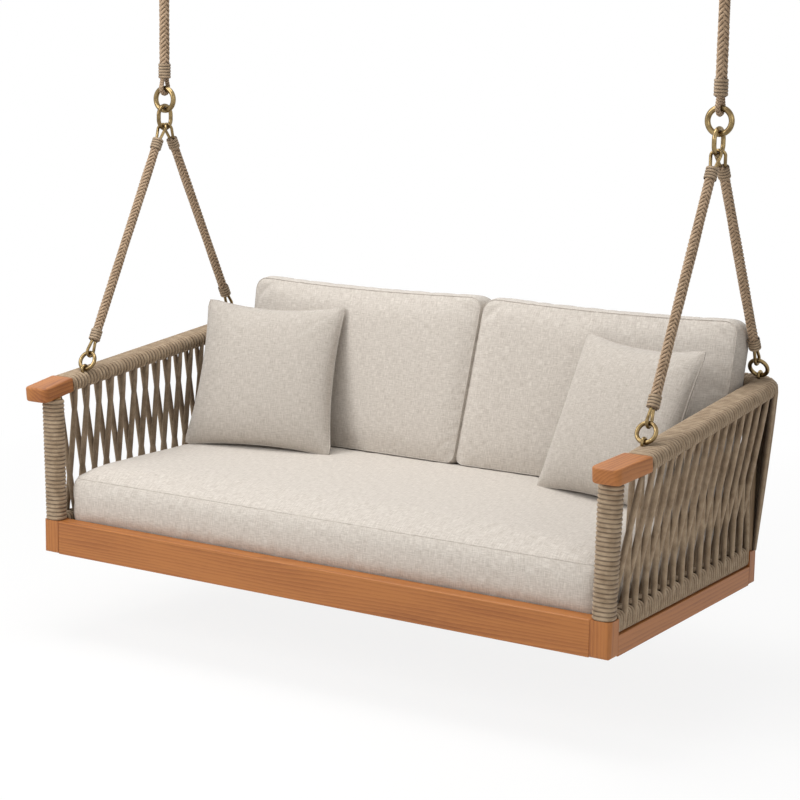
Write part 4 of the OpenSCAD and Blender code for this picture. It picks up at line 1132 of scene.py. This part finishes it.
class SWINGBED_OT_lacing(bpy.types.Operator):
    """Lace the sides and the back between the top rail and the lower bars"""
    bl_idname = "swingbed.lacing"
    bl_label = "Lacing"

    def strand(self, start, end):
        """A taut strand's points, with the slight unevenness of work done by hand."""
        start, end = np.asarray(start, float), np.asarray(end, float)
        share = np.linspace(0, 1, STRAND_POINTS)[:, None]
        bow = np.sin(math.pi * share) * self.random.normal(0, HAND_BOW, 3)
        return start + (end - start) * share + bow

    def lace(self, rope_mesh, rail, bar, rail_at, bar_at, half, full, start, least=-9.0,
             lead=0.5):
        """Laces a panel with lengths of rope, which cross on their way.

        Each goes from over the rail's top down its outside to inside the bar, under the bar,
        and up to the rail's inside, where the winding holds it.
        """
        over = list(zip(*rail_section(half)))[3:-3][::-1]
        under = list(zip(*round_section(BAR_R - half, BAR_R - half, BAR_ROUND)))
        under = under[-5:-1] + under[:5]
        arch = np.sin(np.linspace(0, math.pi, STRAND_POINTS))[1:-1] ** 0.35
        free = half + (full - half) * arch
        top = [start]
        for i, at in enumerate(bar_at):
            at += self.random.normal(0, HAND_SHIFT)
            ahead = rail_at[i + 1] + (rail_at[i + 1] - rail_at[i]) * lead
            low = [bar(at, *spot) for spot in under]
            end = rail(max(ahead, least), *over[0])
            path = [t[0] for t in top]
            path += list(self.strand(path[-1], low[0][0])[1:-1]) + [t[0] for t in low]
            path += list(self.strand(path[-1], end[0])[1:])
            out = [t[1] for t in top] + [top[-1][1]] * (STRAND_POINTS - 2)
            out += [t[1] for t in low] + [low[-1][1]] * (STRAND_POINTS - 1)
            wide = [half] * len(top) + list(free) + [half] * len(low) + list(free) + [half]
            # Laced strands take some painted shade on their flanks.
            rope_mesh.lay(path, out, wide, wide, 10, close=0.4)
            top = [rail(rail_at[i + 1], *spot) for spot in over]

    def fan(self, rope_mesh, side, half):
        """Strands round a rear corner, drawn together on the corner block."""
        corner, spread, clear = 45, 1.05, 0.0008
        middle_wide, foot_wide = 1.25, 0.85
        for angle in CORNER_ANGLES:
            s = BEND_V + BEND_R * math.radians(angle)
            a = math.radians(corner + spread * (angle - corner))
            ways = [on_arm(side)(s, (RAIL_W / 2 + WOUND_OUT - half, w), (1, 0))
                    for w in (0.008, 0.0, -0.010)]
            foot = base_point((REAR_POST[0] + CORNER_FOOT_R * math.cos(a),
                               REAR_POST[1] + CORNER_FOOT_R * math.sin(a),
                               FRONT_RAIL_H + clear)) * (side, 1, 1)
            path = [w[0] for w in ways] + list(self.strand(ways[-1][0], foot)[1:])
            width = np.interp(np.arange(len(path)), (0, 4, len(path) - 1),
                              (half, middle_wide * half, foot_wide * half))
            # Corner strands take painted shade on their flanks.
            rope_mesh.lay(path, ways[0][1], width, width, 10, close=0.6)

    def execute(self, context):
        rope = context.scene.swing_bed_rope
        half, full = rope.lace_d / 2, rope.strand_d / 2
        self.random = np.random.default_rng(7)
        rail_at = [rail_v(y) for y in SIDE_TOPS]
        reach = RAIL_W / 2 + WOUND_OUT - half
        for side_name, side in SIDES.items():
            # The rope works its way round the bed: rearwards on the right, forwards on the left
            cord = RopeMesh()
            rails, bars = (rail_at, SIDE_LOWS) if side > 0 else (rail_at[::-1], SIDE_LOWS[::-1])
            start, way, _ = on_arm(side)(rails[0], (reach, SIDE_FIRST_W), (1, 0))
            if side > 0:
                y = SIDE_TOPS[0]
                toe = (CAP_REAR_Y - y + RAIL_H * math.sin(SLOPE)) * CAP_TOE / CAP_LEN
                z = RAIL_TOP_Z + (y - CAP_REAR_Y) * math.tan(SLOPE) - RAIL_H / math.cos(SLOPE)
                start = base_point((RAIL_X + RAIL_W / 2 - half - toe, y, z))
            self.lace(cord, on_arm(side), side_bar(side), rails, bars, half, full,
                      (start, way), rail_v(SIDE_TOPS[0] + CAP_CLEAR),
                      RIGHT_LEAD if side > 0 else LEFT_LEAD)
            self.fan(cord, side, half)
            cord.lacing("side_lacing_" + side_name, rope, "lacing_" + side_name)
        cord = RopeMesh()
        start, way, _ = on_back(BACK_TOPS[0], (reach, BACK_FIRST_W), (1, 0))
        self.lace(cord, on_back, back_bar, BACK_TOPS, BACK_LOWS, half, full, (start, way))
        cord.lacing("back_lacing", rope, "lacing_back")
        return {"FINISHED"}


class SWINGBED_OT_seat_cushion(bpy.types.Operator):
    """Sew and fill the boxed seat cushion"""
    bl_idname = "swingbed.seat_cushion"
    bl_label = "Seat cushion"

    def execute(self, context):
        linen = context.scene.swing_bed_linen
        low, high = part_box("seat_cushion")
        middle = (low + high) / 2
        seam_h = 0.150
        half = [(high.x - low.x) / 2, (high.y - low.y) / 2, seam_h / 2]
        corner_r = 0.034
        params, quads, uvs = pad_grid(half, linen.cell)
        points = rounded(params * half, half, corner_r)
        c = params[:, 2]
        edge = from_edges(params, half)
        rise = fullness(edge, 0.030, 0.85)
        low_round = np.exp(-(edge.min(1) / 0.012))
        side_bulge, low_tuck, top_tuck, low_lift = 0.008, 0.007, 0.002, 0.004
        bulge = (side_bulge * (1 - c ** 4) - low_tuck * (-c).clip(0) ** 8
                 - top_tuck * c.clip(0) ** 8)
        points[:, :2] *= 1 + bulge[:, None] / np.array(half[:2])
        points[:, 2] = seam_h / 2 * (1 + c) + (c > 0.999) * linen.seat_crown * rise
        points[:, 2] += (c < -0.999) * low_lift * low_round
        points += (middle.x, middle.y, low.z)
        piece = skin("seat_cushion_cover", points, quads, uvs, "weave", linen_material(linen),
                     "bed")
        edges = edge.min(1) < 1e-6
        filled(piece, "seat_cushion", (np.abs(c) > 0.999) & (edges | (c < 0)), 0.006, 0.01)
        for name, level in (("top", 1), ("low", -1)):
            seam(piece, "seat_seam_" + name, edges & (c == level), params, 0.0016,
                 linen_material(linen), "cushion_linen")
        return {"FINISHED"}


class SWINGBED_OT_back_cushions(bpy.types.Operator):
    """Sew and fill the two back cushions"""
    bl_idname = "swingbed.back_cushions"
    bl_label = "Back cushions"

    def execute(self, context):
        linen = context.scene.swing_bed_linen
        lean = math.radians(8.3)
        seam_x, gap = 0.085, 0.002
        low_y, low_z = 0.7925, 0.2578
        high, deep, seam_half = 0.518, 0.122, 0.046
        top_r, low_r = 0.042, 0.024
        side_bulge, side_draw, top_dip = 0.005, 0.003, 0.009
        for side_name, width, skew in (("left", 0.850, (0.0, -0.050)),
                                       ("right", 0.830, (-0.050, -0.026))):
            half = [width / 2, high / 2, deep / 2]
            params, quads, uvs = pad_grid(half, linen.cell)
            points = rounded(params * half, half, np.where(params[:, 1:2] > 0, top_r, low_r))
            edge = from_edges(params, half)
            c = params[:, 2]
            face = np.abs(c) > 0.999
            dome = fullness(edge, 0.034)
            points[:, 2] = np.where(face, np.sign(c) * (seam_half + (deep / 2 - seam_half) * dome),
                                    c * seam_half)
            points[:, :2] *= 1 + (side_bulge * (1 - c ** 2)[:, None] - side_draw) / np.array(
                half[:2])
            points[:, 1] -= (top_dip * (1 - params[:, 0] ** 2) * (params[:, 1] > 0)
                             * params[:, 1] ** 2)
            share = 0.5 + params[:, 0] / 2
            slip = (skew[0] * (1 - share) + skew[1] * share) * (0.5 - params[:, 1] / 2)
            points[:, 0] += slip
            x0 = (seam_x - width / 2) if side_name == "left" else (seam_x + gap + width / 2)
            points = stood(points, (x0, low_y, low_z), lean, high)
            edges = edge.min(1) < 1e-6
            piece = skin(f"back_cushion_{side_name}_cover", points, quads, uvs, "weave",
                         linen_material(linen), "bed")
            filled(piece, "back_cushion_" + side_name, face & edges, 0.006, 0.012)
            for name, level in (("front", 1), ("rear", -1)):
                seam(piece, f"back_seam_{name}_{side_name}", edges & (c == level), params,
                     0.0018, linen_material(linen), "cushion_linen")
        return {"FINISHED"}


class SWINGBED_OT_pillows(bpy.types.Operator):
    """Sew and fill the two loose pillows"""
    bl_idname = "swingbed.pillows"
    bl_label = "Loose pillows"

    def execute(self, context):
        linen = context.scene.swing_bed_linen
        lean = math.radians(20)
        side_len, deep, low_z, hem = 0.476, 0.122, 0.263, 0.0015
        side_pull, top_pull, low_pull = 0.060, 0.10, 0.055
        front_full, rear_full = 1.06, 0.9
        for side_name, x, y, yaw, low_wide, top_wide, slip in (
                ("left", -0.579, 0.570, 13.5, 1.042, 0.980, 0.0),
                ("right", 0.6115, 0.567, -16.5, 1.010, 0.955, 0.020)):
            half = [side_len / 2, side_len / 2, 0.004]
            params, quads, uvs = pad_grid(half, linen.cell * 0.8)
            a, b, c = params.T
            flat = rounded(params * half, half, 0.020)
            edge = from_edges(params, half)
            puff = fullness(edge, 0.050)
            points = np.empty_like(flat)
            points[:, 0] = flat[:, 0] * (1 - side_pull * (1 - b ** 2) * np.abs(a) ** 3)
            points[:, 0] *= low_wide * (1 - b) / 2 + top_wide * (1 + b) / 2
            points[:, 0] += slip * (1 + b) / 2
            pull = np.where(b > 0, top_pull, low_pull)
            points[:, 1] = flat[:, 1] * (1 - pull * (1 - a ** 2) * np.abs(b) ** 3)
            full = np.where(c > 0, front_full, rear_full)
            points[:, 2] = c * (hem + (deep / 2 - hem) * puff * full)
            points = stood(points, (x, y, low_z), lean, side_len, math.radians(yaw))
            material = pillow_material(linen)
            piece = skin(f"pillow_{side_name}_cover", points, quads, uvs, "weave", material,
                         "bed")
            filled(piece, "pillow_" + side_name, edge.max(1) < 1e-6, 0.010, 0.0)
            seam(piece, f"pillow_seam_{side_name}", (edge.min(1) < 1e-6) & (c == 0), params,
                 0.0, material, "pillow_linen", 0.0026, 0.0022)
        return {"FINISHED"}


class SWINGBED_OT_stage(bpy.types.Operator):
    """Lay the floor and hang the studio lights"""
    bl_idname = "swingbed.stage"
    bl_label = "Floor and lights"

    def execute(self, context):
        stage = context.scene.swing_bed_stage
        scene = context.scene
        mesh = bpy.data.meshes.new("floor")
        size, z = 30.0, BASE_Z - stage.floor_drop
        mesh.from_pydata([(x, y, z) for x, y in ((-size, -size), (size, -size), (size, size),
                                                 (-size, size))], [], [(0, 1, 2, 3)])
        floor = bpy.data.objects.new("floor", mesh)
        scene.collection.objects.link(floor)
        material, tree = blank("matt_studio_floor")
        # Painted studio floor: matt, and seen as plain white where no shadow lies on it
        seen = seen_direct(tree)
        place = add(tree, "TexCoord").outputs["Object"]
        away = add(tree, "VectorMath", {0: place}, operation="LENGTH").outputs["Value"]
        pale = add(tree, "MapRange", {
            "Value": away, "From Min": 2.3, "From Max": 4.2, "To Min": 0.86,
            "To Max": 1.0}).outputs[0]
        share = calc(tree, "MULTIPLY", seen, pale)
        speck = add(tree, "TexNoise", {"Vector": place, "Scale": 120.0})
        bump = relief(tree, speck.outputs["Fac"], 0.05, 0.001)
        matt = add(tree, "BsdfPrincipled", {
            "Base Color": linear(stage.floor_colour), "Roughness": 0.9,
            "Specular IOR Level": 0.1, "Normal": bump})
        white = add(tree, "Emission", {"Color": (1, 1, 1, 1), "Strength": 1.0})
        mix = add(tree, "MixShader", {0: share, 1: matt.outputs[0],
                                                2: white.outputs[0]})
        add(tree, "OutputMaterial", {"Surface": mix.outputs[0]})
        mesh.materials.append(material)

        world = bpy.data.worlds.new("studio")
        scene.world = world
        world.use_nodes = True
        tree = world.node_tree
        tree.nodes.clear()
        seen = seen_direct(tree)
        soft = add(tree, "Background", {"Color": linear("#FFFFFF"),
                                                  "Strength": 0.32})
        clean = add(tree, "Background", {"Color": (1, 1, 1, 1), "Strength": 1.0})
        mix = add(tree, "MixShader", {0: seen, 1: soft.outputs[0],
                                                2: clean.outputs[0]})
        add(tree, "OutputWorld", {"Surface": mix.outputs[0]})

        middle = Vector((0.0, 0.0, -1.3))
        for name, at, width, power in (("key", (-2.6, -4.6, 1.4), 2.4, 158.0),
                                       ("top", (-0.6, -0.5, 2.4), 2.6, 132.0),
                                       ("fill", (4.6, -2.6, 0.4), 2.2, 34.0)):
            lamp = having(bpy.data.lights.new(name, "AREA"), size=width, energy=power)
            light = bpy.data.objects.new(name, lamp)
            light.location = at
            light.rotation_euler = (middle - Vector(at)).to_track_quat("-Z", "Y").to_euler()
            scene.collection.objects.link(light)
        scene.view_settings.view_transform = "Standard"
        return {"FINISHED"}


class SWINGBED_PT_panel(bpy.types.Panel):
    """Pieces of the swing bed"""
    bl_idname = "SWINGBED_PT_panel"
    bl_label = "Swing Bed"
    bl_space_type = "VIEW_3D"
    bl_region_type = "UI"
    bl_category = "Swing Bed"

    def draw(self, context):
        layout = self.layout
        for step in STEPS:
            layout.operator(step.bl_idname)
        for _, group in GROUPS:
            settings = getattr(context.scene, group)
            for name in settings.bl_rna.properties.keys():
                if name not in ("rna_type", "name"):
                    layout.prop(settings, name)


GROUPS = (
    (SwingBedRope, "swing_bed_rope"),
    (SwingBedWood, "swing_bed_wood"),
    (SwingBedMetal, "swing_bed_metal"),
    (SwingBedLinen, "swing_bed_linen"),
    (SwingBedStage, "swing_bed_stage"),
)
STEPS = (
    SWINGBED_OT_camera, SWINGBED_OT_leg_ropes, SWINGBED_OT_upper_ropes, SWINGBED_OT_metal,
    SWINGBED_OT_wood, SWINGBED_OT_rail_windings, SWINGBED_OT_bar_windings,
    SWINGBED_OT_post_windings, SWINGBED_OT_lacing, SWINGBED_OT_seat_cushion,
    SWINGBED_OT_back_cushions, SWINGBED_OT_pillows, SWINGBED_OT_stage,
)


def register():
    for group, name in GROUPS:
        bpy.utils.register_class(group)
        setattr(bpy.types.Scene, name, bpy.props.PointerProperty(type=group))
    for step in STEPS:
        bpy.utils.register_class(step)
    bpy.utils.register_class(SWINGBED_PT_panel)


def unregister():
    bpy.utils.unregister_class(SWINGBED_PT_panel)
    for step in reversed(STEPS):
        bpy.utils.unregister_class(step)
    for group, name in reversed(GROUPS):
        delattr(bpy.types.Scene, name)
        bpy.utils.unregister_class(group)


def main():
    """Makes every piece in order."""
    register()
    for step in STEPS:
        area, name = step.bl_idname.split(".")
        getattr(getattr(bpy.ops, area), name)()
    bpy.context.view_layer.update()


if __name__ == "__main__":
    main()
